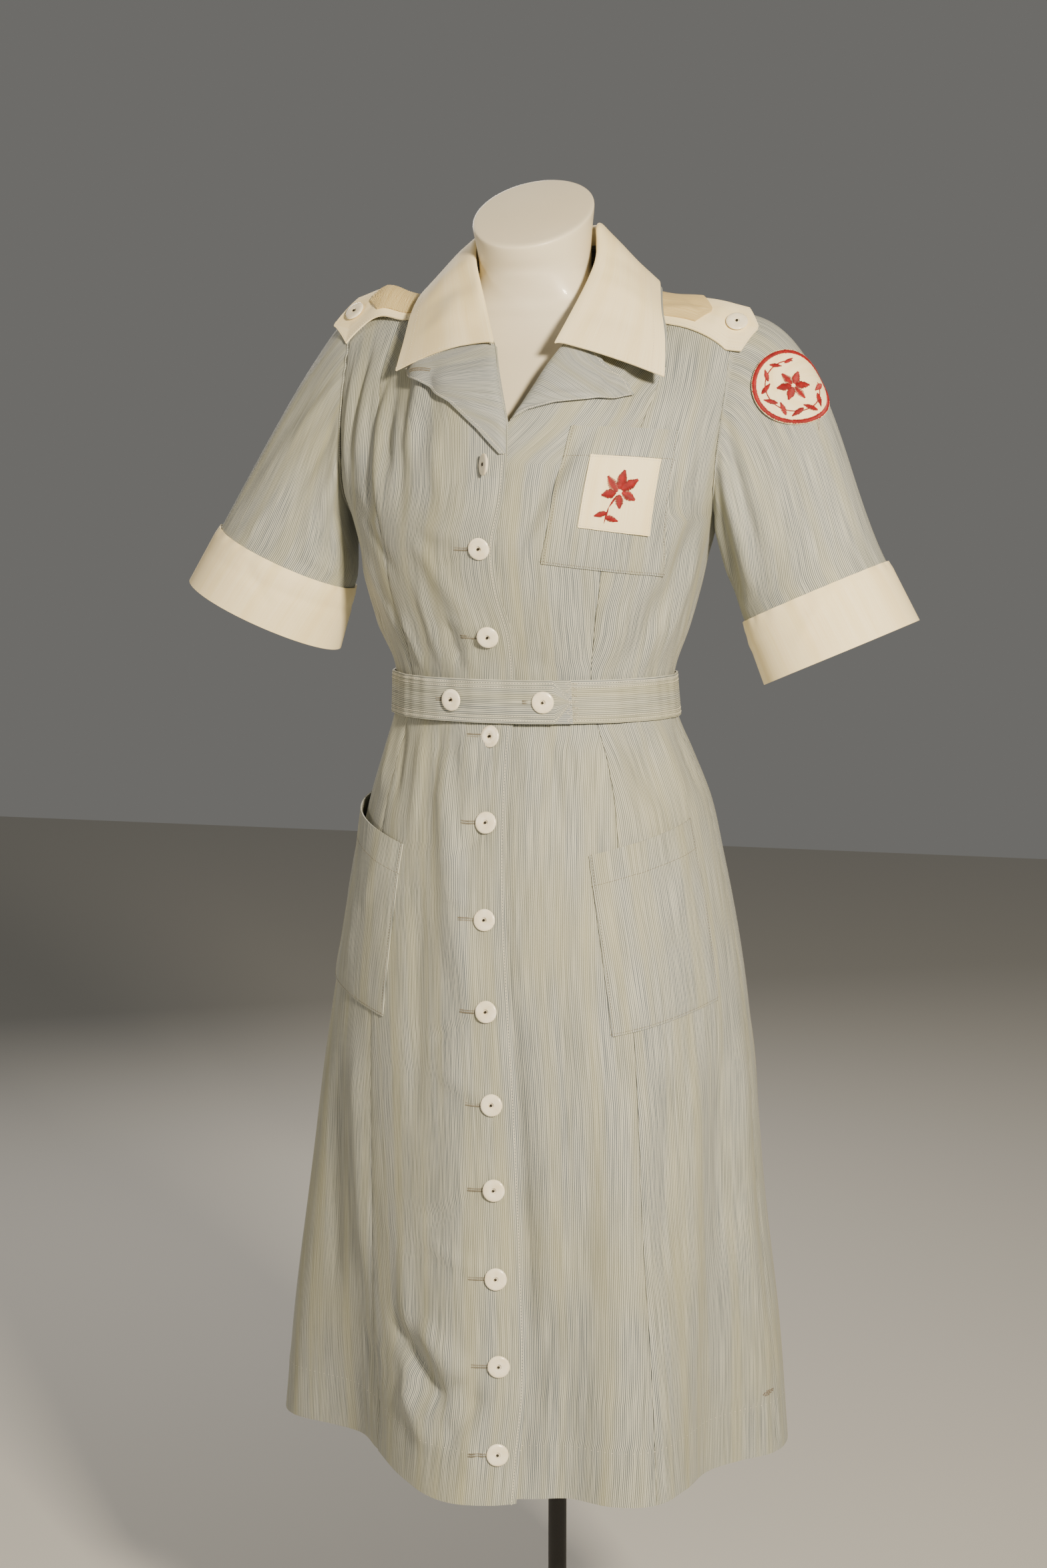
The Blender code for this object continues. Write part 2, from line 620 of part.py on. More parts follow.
def clear_of_dress(points, lift):
    """Points moved off the dress surface until they clear it by a lift."""
    points = points.copy()
    for _ in range(4):
        x, y, z = np.moveaxis(points, -1, 0)
        ridge_z, ridge_y = np.moveaxis(ridge_at(x), -1, 0)
        in_front = y < ridge_y
        level = level_at(x, np.minimum(z, ridge_z - 0.0005))
        angle = front_angle(x, level)
        surface_y = body(np.where(in_front, angle, 180.0 - angle), level)[..., 1]
        flat = np.where(z > ridge_z, 0.5, np.where(in_front, surface_y - y, y - surface_y))
        high = z - top_height(x, y)
        outside = np.where((high > 0) & (flat > 0), 1.0, -1.0)
        far = np.hypot(high, flat) + 1e-9
        away = outside * np.abs(high * flat) / far
        short = np.clip(lift - away, 0.0, 0.02)
        forward = np.where(in_front, -1.0, 1.0)
        points[..., 1] += forward * short * np.abs(high) / far
        points[..., 2] += short * np.abs(flat) / far
    return points


def collar_points(stations):
    """A grid over the white collar, from the wearer's right end round the back to the left end."""
    columns = []
    for station in stations:
        side = LEFT if station >= 0 else RIGHT
        row = collar_at[side](abs(station))
        fold, outer = row[:3], row[3:]
        away = (outer - fold) / np.linalg.norm(outer - fold)
        crown = fold * 0.55 + outer * 0.45 + np.array([0.0, 0.0, COLLAR_CROWN[side]])
        inward = -np.array([away[0], away[1], 0.0]) / np.linalg.norm(away[:2])
        column = []
        for share in COLLAR_SHARES:
            if share < 0:
                depth = 0.001 - share * COLLAR_STAND * ease((1.0 - abs(station)) / 0.45)
                point = fold + inward * 0.0012 - np.array([0.0, 0.0, depth])
            else:
                point = fold * (1 - share) ** 2 + crown * 2 * share * (1 - share) + outer * share**2
            column.append(point)
        columns.append(column)
    points = np.array(columns)
    over_straps = ease((points[:, 3:, 2] - 1.335) / 0.02)
    points[:, 3:] = clear_of_dress(points[:, 3:], COLLAR_LIFT + 0.003 * over_straps)
    return points


def make_collar(striped, white):
    """The white cover, and under it the dress's own collar, which shows along its outer edge."""
    stations = np.linspace(-1.0, 1.0, 27)
    points = collar_points(stations)
    cloth_wall("collar_cover", points, COVER, white)
    under = (points - grid_normals(points, False) * COLLAR_SPACE)[:, 4:]
    stay = 0.3 * ease((COLLAR_SHARES[4:] - 0.45) / 0.4)[:, None]
    under[0] = under[1] + (under[0] - under[1]) * stay
    under[-1] = under[-2] + (under[-1] - under[-2]) * stay
    outward = under[:, -1] - under[:, -2]
    outward = outward / np.linalg.norm(outward, axis=-1, keepdims=True)
    reach = 0.0015 + 0.004 * ease((np.abs(stations) - 0.15) / 0.2) * ease((0.95 - np.abs(stations)) / 0.2)
    under[:, -1] = clear_of_dress(under[:, -1] + outward * reach[:, None], COLLAR_LIFT - 0.0024)
    cloth_wall("collar", under, CLOTH, striped)


# Lapels: the roll line and the free edge, as X and Z on the front, and how far the edge lies off it.
LAPELS = {
    RIGHT: [
        # station, roll x, z, edge x, z, edge lift
        (0.00, 0.0118, 1.2300, 0.0062, 1.2290, 0.0066),
        (0.25, 0.0105, 1.2560, -0.0140, 1.2490, 0.0066),
        (0.50, 0.0058, 1.2725, -0.0411, 1.2709, 0.0065),
        (0.70, 0.0010, 1.2880, -0.0700, 1.2860, 0.0062),
        (0.80, -0.0028, 1.3000, -0.0938, 1.2987, 0.0073),
        (0.90, -0.0058, 1.3100, -0.0700, 1.3080, 0.0061),
        (1.00, -0.0085, 1.3190, -0.0440, 1.3190, 0.0042),
    ],
    LEFT: [
        (0.00, 0.0122, 1.2568, 0.0155, 1.2595, 0.0048),
        (0.15, 0.0165, 1.2645, 0.0288, 1.2663, 0.0048),
        (0.32, 0.0213, 1.2720, 0.0494, 1.2715, 0.0048),
        (0.50, 0.0268, 1.2820, 0.0910, 1.2755, 0.0048),
        (0.60, 0.0310, 1.2900, 0.1080, 1.2765, 0.0046),
        (0.72, 0.0350, 1.2985, 0.0980, 1.2890, 0.0042),
        (0.84, 0.0395, 1.3070, 0.0806, 1.3045, 0.0037),
        (1.00, 0.0458, 1.3180, 0.0700, 1.3190, 0.0035),
    ],
}
LAPEL_ROLL_LIFT = {RIGHT: LAP_LIFT + 0.0022, LEFT: 0.0020}
LAPEL_SHARES = np.array([0.0, 0.12, 0.35, 0.65, 1.0])


def lapel_points(side, stations):
    """A grid over a lapel, from the bottom of its roll line to the gorge. It bellies out beside the roll."""
    rows = np.array(LAPELS[side])
    table = np.stack([np.interp(stations, rows[:, 0], rows[:, k]) for k in range(1, 6)], -1)[:, :, None]
    roll_x, roll_z, edge_x, edge_z, edge_lift = np.moveaxis(table, 1, 0)
    x = roll_x + (edge_x - roll_x) * LAPEL_SHARES
    z = roll_z + (edge_z - roll_z) * LAPEL_SHARES
    calm = 1 - 0.75 * ease((np.asarray(stations) - 0.55) / 0.4)[:, None]
    belly = 0.050 * np.abs(edge_x - roll_x) * np.sin(np.pi * np.sqrt(LAPEL_SHARES)) * calm
    lift = LAPEL_ROLL_LIFT[side] + (edge_lift - LAPEL_ROLL_LIFT[side]) * LAPEL_SHARES
    return front_place(x, z, lift + belly)


def make_lapels(striped):
    for side, word in ((RIGHT, "right"), (LEFT, "left")):
        key = [row[0] for row in LAPELS[side]]
        stations = sorted(key + [(low + high) / 2 for low, high in zip(key, key[1:])])
        points = lapel_points(side, stations)
        cloth_wall(f"lapel_{word}", points if side == RIGHT else points[::-1], CLOTH, striped)


# Shoulder straps: a white cover with a pointed end, and a shorter ribbed tape on it.
STRAP_INNER = 0.094
STRAP_ENDS = {RIGHT: (0.172, 0.1900), LEFT: (0.1855, 0.1975)}  # where the point starts, and its tip
STRAP_BUTTON_X = {RIGHT: 0.1680, LEFT: 0.1780}
STRAP_EDGES = {  # front and back edge in Y at its inner end, and at its tip
    RIGHT: ((-0.014, 0.026), (-0.008, 0.026)),
    LEFT: ((-0.017, 0.025), (-0.007, 0.026)),
}
STRAP_DROOP = {RIGHT: 0.45, LEFT: 0.25}  # its slope past the armhole
STRAP_LIFT = 0.0028
TAPE_ENDS = {RIGHT: (0.1440, 0.1560), LEFT: (0.1450, 0.1570)}
TAPE_MARGIN = 0.005  # of the strap's front that the tape leaves bare
TAPE_LIFT = 0.0025  # above the strap's middle
STRAP_BUMP = {RIGHT: 0.009, LEFT: 0.001}  # the strap buckles up ahead of its button
STRAP_BACK_RISE = 0.25  # how steeply its back half stands up towards its outer end


def strap_edges(x, side):
    """Y of a strap's front and back edge at a distance X from the middle."""
    share = (np.abs(x) - STRAP_INNER) / (STRAP_ENDS[side][1] - STRAP_INNER)
    inner, outer = STRAP_EDGES[side]
    return inner[0] + (outer[0] - inner[0]) * share, inner[1] + (outer[1] - inner[1]) * share


def strap_top(x, y, side):
    """Height of a strap's middle surface. Past the armhole it slopes down to its point."""
    past = np.clip(np.abs(x) - 0.172, 0.0, None)
    bump = STRAP_BUMP[side] * np.exp(-(((np.abs(x) - 0.142) / 0.020) ** 2))
    slope = (top_height(x, y + 0.003) - top_height(x, y - 0.003)) / 0.006
    behind = np.clip(y - sum(strap_edges(x, side)) / 2, 0.0, None) * ease((np.abs(x) - 0.120) / 0.050)
    rise = bump + STRAP_BACK_RISE * behind - past * STRAP_DROOP[side]
    return top_height(x, y) + STRAP_LIFT * np.sqrt(1 + slope**2) + rise


def strap_points(side, ends, margin, lift):
    """A strap along the shoulder whose outer end is cut to a point, or the tape on it inside a margin."""
    square, tip = ends
    lengths = np.concatenate([np.linspace(STRAP_INNER, square, 9), [(square + tip) / 2, tip - 0.001]])
    across = np.linspace(0.0, 1.0, 5)
    columns = []
    for length in lengths:
        front_y, back_y = strap_edges(length, side)
        front_y, back_y = front_y + margin, back_y - 0.2 * margin
        middle = (front_y + back_y) / 2
        narrowing = 1.0 if length <= square else max((tip - length) / (tip - square), 0.08)
        y = middle + (front_y + (back_y - front_y) * across - middle) * narrowing
        x = np.full_like(y, side * length)
        columns.append(np.stack([x, y, strap_top(x, y, side) + lift], -1))
    points = np.array(columns)
    return points if side == LEFT else points[::-1]


def make_straps(white, tape):
    for side, word in ((RIGHT, "right"), (LEFT, "left")):
        cloth_wall(f"strap_{word}", strap_points(side, STRAP_ENDS[side], 0.0, 0.0), COVER, white)
        points = strap_points(side, TAPE_ENDS[side], TAPE_MARGIN, TAPE_LIFT)
        cloth_wall(f"strap_tape_{word}", points, COVER, tape)


def strap_button_place(side):
    """Where a strap's button sits, and which way it faces: it clears the strap all round its rim."""
    x = side * STRAP_BUTTON_X[side]
    y = sum(strap_edges(x, side)) / 2
    turn = np.radians(np.arange(0, 360, 30))
    rim_x, rim_y = x + BUTTON_RADIUS * np.cos(turn), y + BUTTON_RADIUS * np.sin(turn)
    rim_z = strap_top(rim_x, rim_y, side)
    tilt_x = np.mean((rim_z - rim_z.mean()) * np.cos(turn)) * 2 / BUTTON_RADIUS
    tilt_y = np.mean((rim_z - rim_z.mean()) * np.sin(turn)) * 2 / BUTTON_RADIUS
    normal = Vector((-tilt_x, -tilt_y, 1.0)).normalized()
    middle = Vector((x, y, float(strap_top(np.array(x), np.array(y), side))))
    over = [(Vector(rim) - middle).dot(normal) for rim in zip(rim_x, rim_y, rim_z)]
    return middle + normal * (max(0.0, *over) + COVER / 2 + BUTTON_SINK + 0.0004), normal


# The belt: one strip that starts under its own pointed end and goes once round.
BELT_START, BELT_TIP = -22.0, 386.5
BELT_TIP_LENGTH = 6.5  # degrees over which the belt narrows to its point
BELT_TIP_SHARE = 0.06  # of its width that is left at the tip


def belt_lift(run):
    """How far the belt's middle surface stands off the body, along its run in degrees."""
    low_layer = 0.0052 - 0.0026 * ease((run - 36.0) / 26.0)
    top_layer = 0.0026 + 0.0052 * ease((run - 296.0) / 30.0)
    return np.where(run < 180.0, low_layer, top_layer)


def belt_edge(run, level):
    """Where the belt's middle surface passes at one of its two edges."""
    level = np.broadcast_to(level, run.shape)
    out = body_normal(run, level)
    out[..., 2] = 0
    out = out / np.linalg.norm(out, axis=-1, keepdims=True)
    return body(run, level) + out * belt_lift(run)[..., None]


def belt_middle(run):
    """The belt's middle line, half way between its edges, and the level direction out of it."""
    run = np.asarray(run, float)
    middle = (belt_edge(run, WAIST_Z + BELT_WIDTH / 2) + belt_edge(run, WAIST_Z - BELT_WIDTH / 2)) / 2
    out = body_normal(run, np.broadcast_to(WAIST_Z, run.shape))
    out[..., 2] = 0
    return middle, out / np.linalg.norm(out, axis=-1, keepdims=True)


def make_belt(striped):
    run = np.concatenate([np.linspace(BELT_START, BELT_TIP - BELT_TIP_LENGTH, 48), [BELT_TIP]])
    middle, out = belt_middle(run)
    slope = belt_edge(run, WAIST_Z + BELT_WIDTH / 2) - belt_edge(run, WAIST_Z - BELT_WIDTH / 2)
    width = np.where(run == BELT_TIP, BELT_TIP_SHARE, 1.0)[:, None, None]
    height = np.array([-0.5, 0.0, 0.5])[None, :, None] * width
    cloth_wall("belt", middle[:, None] + slope[:, None] * height, CLOTH, striped)


# Patch pockets and the chest patch, as corners in X and Z on the front, clockwise from the top inner one.
PATCHES = {
    # name: corners (top inner, top outer, bottom outer, bottom inner), lift, columns, rows
    "pocket_chest": ((0.0634, 1.2530), (0.1449, 1.2486), (0.1295, 1.1270), (0.0395, 1.1389), 0.0028, 10, 9),
    "chest_patch": ((0.0795, 1.2290), (0.1316, 1.2250), (0.1220, 1.1620), (0.0700, 1.1695), 0.0048, 8, 8),
}
# Skirt pockets by angle and height, since they run round the hip.
SKIRT_POCKETS = {
    RIGHT: ((-35.5, 0.893), (-86.0, 0.926), (-80.0, 0.762), (-36.0, 0.741)),
    LEFT: ((27.5, 0.891), (69.0, 0.917), (71.5, 0.760), (32.0, 0.740)),
}


def four_corner(corners, columns, rows):
    """A grid spread evenly between four corners."""
    top_in, top_out, low_out, low_in = (np.array(c) for c in corners)
    s = np.linspace(0.0, 1.0, columns)[:, None, None]
    t = np.linspace(0.0, 1.0, rows)[None, :, None]
    return (low_in * (1 - s) + low_out * s) * (1 - t) + (top_in * (1 - s) + top_out * s) * t


def make_pockets(striped, white):
    for name, (*corners, lift, columns, rows) in PATCHES.items():
        plan = four_corner(corners, columns, rows)
        finish = white if name == "chest_patch" else striped
        thickness = COVER if name == "chest_patch" else CLOTH
        cloth_wall(name, front_place(plan[..., 0], plan[..., 1], lift), thickness, finish)
    for side, word in ((RIGHT, "right"), (LEFT, "left")):
        plan = four_corner(SKIRT_POCKETS[side], 8, 7)
        mouth = np.linspace(0.0, 1.0, 7)[None, :] ** 3 * np.sin(np.linspace(0.0, np.pi, 8))[:, None]
        gape = 0.006 if side == RIGHT else 0.004
        points = lifted(plan[..., 0], plan[..., 1], 0.0022 + gape * mouth)
        if side == RIGHT:
            points = points[::-1]
        cloth_wall(f"pocket_skirt_{word}", points, CLOTH, striped)


BADGE_RADIUS = 0.0355
BADGE_TURN, BADGE_ALONG = 0.086, 0.330


def badge_surface(sides, rings):
    """Points and outward directions of a round patch: its middle, then rings of points round it.

    Each point is found by walking from the middle over the left sleeve's surface.
    """
    step, strides = 0.004, 8

    def near(turn, along):
        grid = sleeve_point(LEFT, [turn, turn + step], [along, along + step])
        round_it = (grid[1, 0] - grid[0, 0]) / step
        down_it = (grid[0, 1] - grid[0, 0]) / step
        normal = np.cross(round_it, down_it)
        return grid[0, 0], round_it, down_it, normal / np.linalg.norm(normal)

    middle, _, down_it, face = near(BADGE_TURN, BADGE_ALONG)
    down = down_it / np.linalg.norm(down_it)
    sideways = np.cross(down, face)
    walks = []
    for k in range(sides):
        angle = 2 * math.pi * k / sides
        heading = sideways * math.cos(angle) + down * math.sin(angle)
        place = np.array([BADGE_TURN, BADGE_ALONG])
        walk = []
        for _ in range(strides):
            _, round_it, down_it, normal = near(*place)
            heading = heading - normal * (heading @ normal)
            heading = heading / np.linalg.norm(heading)
            skew = round_it @ down_it
            slopes = np.array([[round_it @ round_it, skew], [skew, down_it @ down_it]])
            wanted = np.array([heading @ round_it, heading @ down_it]) * BADGE_RADIUS / strides
            place = place + np.linalg.solve(slopes, wanted)
            walk.append(near(*place))
        walks.append(walk)
    found = [(middle, face)]
    for ring in rings:
        last = round(ring * strides) - 1
        found += [(walk[last][0], walk[last][3]) for walk in walks]
    return found


def make_badge(white):
    """The round sleeve badge, laid on the left sleeve's own points."""
    sides = 20
    surface = badge_surface(sides, (0.5, 1.0))
    lift = 0.0026
    vertices = [tuple(point + normal * (lift + COVER / 2)) for point, normal in surface]
    vertices += [tuple(point + normal * (lift - COVER / 2)) for point, normal in surface]
    half = len(surface)
    faces = []
    for k in range(sides):
        after = (k + 1) % sides
        faces += [[0, 1 + k, 1 + after], [half, half + 1 + after, half + 1 + k]]
        inner, outer = 1 + k, 1 + sides + k
        inner_after, outer_after = 1 + after, 1 + sides + after
        faces.append([inner, outer, outer_after, inner_after])
        faces.append([half + inner_after, half + outer_after, half + outer, half + inner])
        faces.append([outer, half + outer, half + outer_after, outer_after])
    mesh = bpy.data.meshes.new("sleeve_badge")
    mesh.from_pydata(vertices, [], faces)
    add_object("sleeve_badge", mesh, white)


BUTTON_SINK = 0.0013  # how far the button's underside lies below its middle
BUTTON_PROFILE = [
    (0, -BUTTON_SINK),
    (0.0078, -0.0010),
    (BUTTON_RADIUS, 0.0002),
    (0.0080, 0.0012),
    (0, BUTTON_THICKNESS / 2),
]
FRONT_BUTTONS = [
    # z, height of the button's middle over the left front's cloth
    (1.1512, 0.0042),
    (1.0764, 0.0046),
    (0.9890, 0.0054),
    (0.9169, 0.0049),
    (0.8360, 0.0049),
    (0.7595, 0.0049),
    (0.6815, 0.0049),
    (0.6099, 0.0052),
    (0.5352, 0.0049),
    (0.4616, 0.0046),
    (0.3861, 0.0048),
]
TOP_BUTTON = (-0.0052, 1.2195, 0.0105)  # x, z and height: it stands on the rolled edge, turned aside
TOP_BUTTON_FACING = (-0.80, -0.62, 0.06)
BELT_BUTTON_ANGLES = (-20.0, 15.8)


def place_button(name, point, normal, pearl):
    turn = Vector(normal).to_track_quat("Z", "Y").to_matrix().to_4x4()
    turned(name, BUTTON_PROFILE, 14, pearl, Matrix.Translation(point) @ turn)


def make_buttons(pearl):
    for number, (z, lift) in enumerate(FRONT_BUTTONS, start=2):
        x = closing_at(z)[0]
        level = level_at(np.array(x), np.array(z))
        angle = front_angle(np.array(x), level)
        point = lifted(angle, level, lift)
        place_button(f"button_front_{number:02d}", point, body_normal(angle, level), pearl)
    place_button("button_front_01", front_place(*TOP_BUTTON), TOP_BUTTON_FACING, pearl)
    for number, degrees in enumerate(BELT_BUTTON_ANGLES, start=1):
        middle, out = belt_middle(np.array([degrees + 360.0]))
        point = middle[0] + out[0] * (CLOTH / 2 + BUTTON_SINK + 0.0004)
        place_button(f"button_belt_{number}", point, out[0], pearl)
    for side, word in ((RIGHT, "right"), (LEFT, "left")):
        point, normal = strap_button_place(side)
        place_button(f"button_strap_{word}", point, normal, pearl)


# The dress form, by its own sections. It stays clear of the cloth, and its neck leans a little forward.
FORM_SECTIONS = [
    # z, half_width, front_depth, back_depth, middle_x, middle_y
    (0.760, 0.1580, 0.1180, 0.1300, 0.000, 0.002),
    (0.800, 0.1640, 0.1260, 0.1380, 0.000, 0.002),
    (0.860, 0.1590, 0.1220, 0.1330, 0.000, 0.002),
    (0.920, 0.1460, 0.1080, 0.1180, 0.000, 0.002),
    (0.970, 0.1280, 0.0930, 0.0980, 0.000, 0.001),
    (1.020, 0.1130, 0.0850, 0.0830, 0.000, 0.000),
    (1.070, 0.1230, 0.0930, 0.0870, 0.000, 0.000),
    (1.120, 0.1380, 0.1070, 0.0950, 0.000, 0.000),
    (1.165, 0.1480, 0.1160, 0.1010, 0.000, 0.000),
    (1.210, 0.1520, 0.1120, 0.1040, 0.000, 0.000),
    (1.255, 0.1500, 0.1000, 0.1040, 0.000, 0.002),
    (1.290, 0.1460, 0.0830, 0.0990, 0.000, 0.006),
    (1.320, 0.1340, 0.0660, 0.0860, 0.000, 0.012),
    (1.341, 0.1170, 0.0565, 0.0620, 0.000, 0.013),
    (1.353, 0.0970, 0.0520, 0.0480, 0.000, 0.009),
    (1.361, 0.0780, 0.0475, 0.0450, 0.000, 0.005),
    (1.370, 0.0610, 0.0470, 0.0450, 0.001, 0.002),
]
# The neck: rings that lean from level to the slope of the cut top.
NECK_CENTRE_X = 0.001
NECK = [
    # z, radius_across, radius_deep, middle_y, slope in degrees
    (1.386, 0.0500, 0.0480, -0.001, 7.0),
    (1.400, 0.0492, 0.0482, -0.003, 16.0),
    (1.418, 0.0505, 0.0510, -0.006, 25.0),
    (1.4344, 0.0526, 0.0540, -0.008, 30.5),
    (1.4384, 0.0515, 0.0530, -0.008, 31.0),
]


def make_form(enamel):
    sides = 28
    rings = []
    angles = 2 * np.pi * np.arange(sides) / sides
    sine, cosine = np.sin(angles), np.cos(angles)
    for z, half_width, front, back, middle_x, middle_y in FORM_SECTIONS:
        depth = np.where(cosine > 0, front, back)
        x, y = middle_x + half_width * sine, middle_y - depth * cosine
        rings.append(np.stack([x, y, np.full(sides, z)], -1))
    for z, across, deep, middle_y, slope in NECK:
        y = -deep * cosine
        tilt = math.radians(slope)
        x = NECK_CENTRE_X + across * sine
        rings.append(np.stack([x, middle_y + y, z + y * math.tan(tilt)], -1))
    vertices = np.concatenate(rings)
    faces = [[k for k in reversed(range(sides))]]
    for ring in range(len(rings) - 1):
        for k in range(sides):
            low, high = ring * sides, (ring + 1) * sides
            after = (k + 1) % sides
            faces.append([low + k, low + after, high + after, high + k])
    faces.append([(len(rings) - 1) * sides + k for k in range(sides)])
    mesh = bpy.data.meshes.new("dress_form")
    mesh.from_pydata(vertices.tolist(), [], faces)
    add_object("dress_form", mesh, enamel)


def make_stand(steel):
    """A round plate with a boss, and a pole up to the form's underside."""
    x, y = POLE_PLACE
    place = Matrix.Translation((x, y, 0.0))
    boss_top = BASE_THICKNESS + 0.030
    plate = [
        (0, 0.0),
        (BASE_RADIUS - 0.003, 0.0),
        (BASE_RADIUS, 0.003),
        (BASE_RADIUS - 0.002, BASE_THICKNESS - 0.003),
        (0.050, BASE_THICKNESS),
        (0.022, BASE_THICKNESS + 0.004),
        (0.018, boss_top),
        (0, boss_top),
    ]
    turned("stand_base", plate, 40, steel, place)
    low, high = boss_top + SEAM_GAP, FORM_SECTIONS[0][0] - SEAM_GAP
    turned("stand_pole", [(0, low), (POLE_RADIUS, low), (POLE_RADIUS, high), (0, high)], 16, steel, place)


def main():
    for leftover in list(bpy.data.objects):
        bpy.data.objects.remove(leftover, do_unlink=True)
    striped = material("striped cotton", (0.47, 0.47, 0.44), 0.85)
    white = material("white cotton", (0.86, 0.80, 0.64), 0.80)
    tape = material("ribbed tape", (0.72, 0.62, 0.42), 0.85)
    pearl = material("pearl button", (0.88, 0.85, 0.74), 0.28)
    enamel = material("enamelled form", (0.78, 0.74, 0.62), 0.35)
    steel = material("black steel", (0.03, 0.03, 0.03), 0.45, 0.6)
    make_form(enamel)
    make_stand(steel)
    make_panels(striped)
    make_sleeves(striped, white)
    make_lapels(striped)
    make_collar(striped, white)
    make_straps(white, tape)
    make_belt(striped)
    make_pockets(striped, white)
    make_badge(white)
    make_buttons(pearl)


main()
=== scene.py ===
import math

import bpy
import numpy as np
from mathutils import Matrix, Vector


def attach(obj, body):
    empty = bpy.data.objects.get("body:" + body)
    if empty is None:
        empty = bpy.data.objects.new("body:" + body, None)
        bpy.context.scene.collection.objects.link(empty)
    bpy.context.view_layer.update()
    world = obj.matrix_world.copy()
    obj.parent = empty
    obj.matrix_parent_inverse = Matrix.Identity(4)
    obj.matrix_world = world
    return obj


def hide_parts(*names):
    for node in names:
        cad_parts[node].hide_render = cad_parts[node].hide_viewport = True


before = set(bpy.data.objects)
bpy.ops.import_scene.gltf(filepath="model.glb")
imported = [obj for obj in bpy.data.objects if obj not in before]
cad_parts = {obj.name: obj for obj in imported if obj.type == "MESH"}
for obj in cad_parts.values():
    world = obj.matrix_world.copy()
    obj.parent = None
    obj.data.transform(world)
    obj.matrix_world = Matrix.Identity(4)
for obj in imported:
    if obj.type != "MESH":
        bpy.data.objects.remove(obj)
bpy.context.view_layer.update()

# Dress form: a limbless display torso, moulded in cream plastic with a satin face, its neck cut off at a
# slant. It only carries the dress, so it is smooth and whole. A steel pole runs up into its underside.
# The dress form, by its own sections. It stays clear of the cloth, and its neck leans a little forward.
FORM_SECTIONS = [
    # z, half_width, front_depth, back_depth, middle_x, middle_y
    (0.760, 0.1580, 0.1180, 0.1300, 0.000, 0.002),
    (0.800, 0.1640, 0.1260, 0.1380, 0.000, 0.002),
    (0.860, 0.1590, 0.1220, 0.1330, 0.000, 0.002),
    (0.920, 0.1460, 0.1080, 0.1180, 0.000, 0.002),
    (0.970, 0.1280, 0.0930, 0.0980, 0.000, 0.001),
    (1.020, 0.1130, 0.0850, 0.0830, 0.000, 0.000),
    (1.070, 0.1230, 0.0930, 0.0870, 0.000, 0.000),
    (1.120, 0.1380, 0.1070, 0.0950, 0.000, 0.000),
    (1.165, 0.1480, 0.1160, 0.1010, 0.000, 0.000),
    (1.210, 0.1520, 0.1120, 0.1040, 0.000, 0.000),
    (1.255, 0.1500, 0.1000, 0.1040, 0.000, 0.002),
    (1.290, 0.1460, 0.0830, 0.0990, 0.000, 0.006),
    (1.320, 0.1340, 0.0660, 0.0860, 0.000, 0.012),
    (1.341, 0.1170, 0.0565, 0.0620, 0.000, 0.013),
    (1.353, 0.0970, 0.0520, 0.0480, 0.000, 0.009),
    (1.361, 0.0780, 0.0475, 0.0450, 0.000, 0.005),
    (1.370, 0.0610, 0.0470, 0.0450, 0.001, 0.002),
]
# The neck: rings that lean from level to the slope of the cut top.
NECK_CENTRE_X = 0.001
NECK = [
    # z, radius_across, radius_deep, middle_y, slope in degrees
    (1.386, 0.0500, 0.0480, -0.001, 7.0),
    (1.400, 0.0492, 0.0482, -0.003, 16.0),
    (1.418, 0.0505, 0.0510, -0.006, 25.0),
    (1.4344, 0.0526, 0.0540, -0.008, 30.5),
    (1.4384, 0.0515, 0.0530, -0.008, 31.0),
]


def curve_through(rows):
    """A smooth function through a table: its first column is the key, and it returns the other columns."""
    table = np.array(rows, float)
    keys, values = table[:, 0], table[:, 1:]
    slopes = np.gradient(values, keys, axis=0)

    def at(key):
        key = np.clip(np.asarray(key, float), keys[0], keys[-1])
        i = np.clip(np.searchsorted(keys, key, "right") - 1, 0, len(keys) - 2)
        span = keys[i + 1] - keys[i]
        t = ((key - keys[i]) / span)[..., None]
        span = span[..., None]
        start, end = values[i], values[i + 1]
        rise = end - start
        leaving, arriving = slopes[i] * span, slopes[i + 1] * span
        bend = (3 * rise - 2 * leaving - arriving) * t**2
        return start + leaving * t + bend + (leaving + arriving - 2 * rise) * t**3

    return at


def srgb(code):
    """A hex colour as it looks on screen, turned to the linear values that a shader takes."""
    parts = [int(code[k:k + 2], 16) / 255 for k in (1, 3, 5)]
    linear = [c / 12.92 if c <= 0.04045 else ((c + 0.055) / 1.055) ** 2.4 for c in parts]
    return (*linear, 1.0)


def put(tree, kind, links=None, **settings):
    """One node with its settings, its inputs set to values or linked to sockets."""
    node = tree.nodes.new(kind)
    for name, value in settings.items():
        setattr(node, name, value)
    for name, value in (links or {}).items():
        if isinstance(value, bpy.types.NodeSocket):
            tree.links.new(value, node.inputs[name])
        else:
            node.inputs[name].default_value = value
    return node


def shade(tree, factor, stops):
    """Colours along a factor: stops are (place, hex colour)."""
    ramp = put(tree, "ShaderNodeValToRGB", {"Fac": factor})
    for place, code in stops[2:]:
        ramp.color_ramp.elements.new(place)
    for element, (place, code) in zip(ramp.color_ramp.elements, sorted(stops)):
        element.position = place
        element.color = srgb(code)
    return ramp.outputs["Color"]


def new_material(name, **sockets):
    made = bpy.data.materials.new(name)
    made.use_nodes = True
    shader = made.node_tree.nodes["Principled BSDF"]
    for socket, value in sockets.items():
        shader.inputs[socket.replace("_", " ")].default_value = value
    return made, made.node_tree, shader


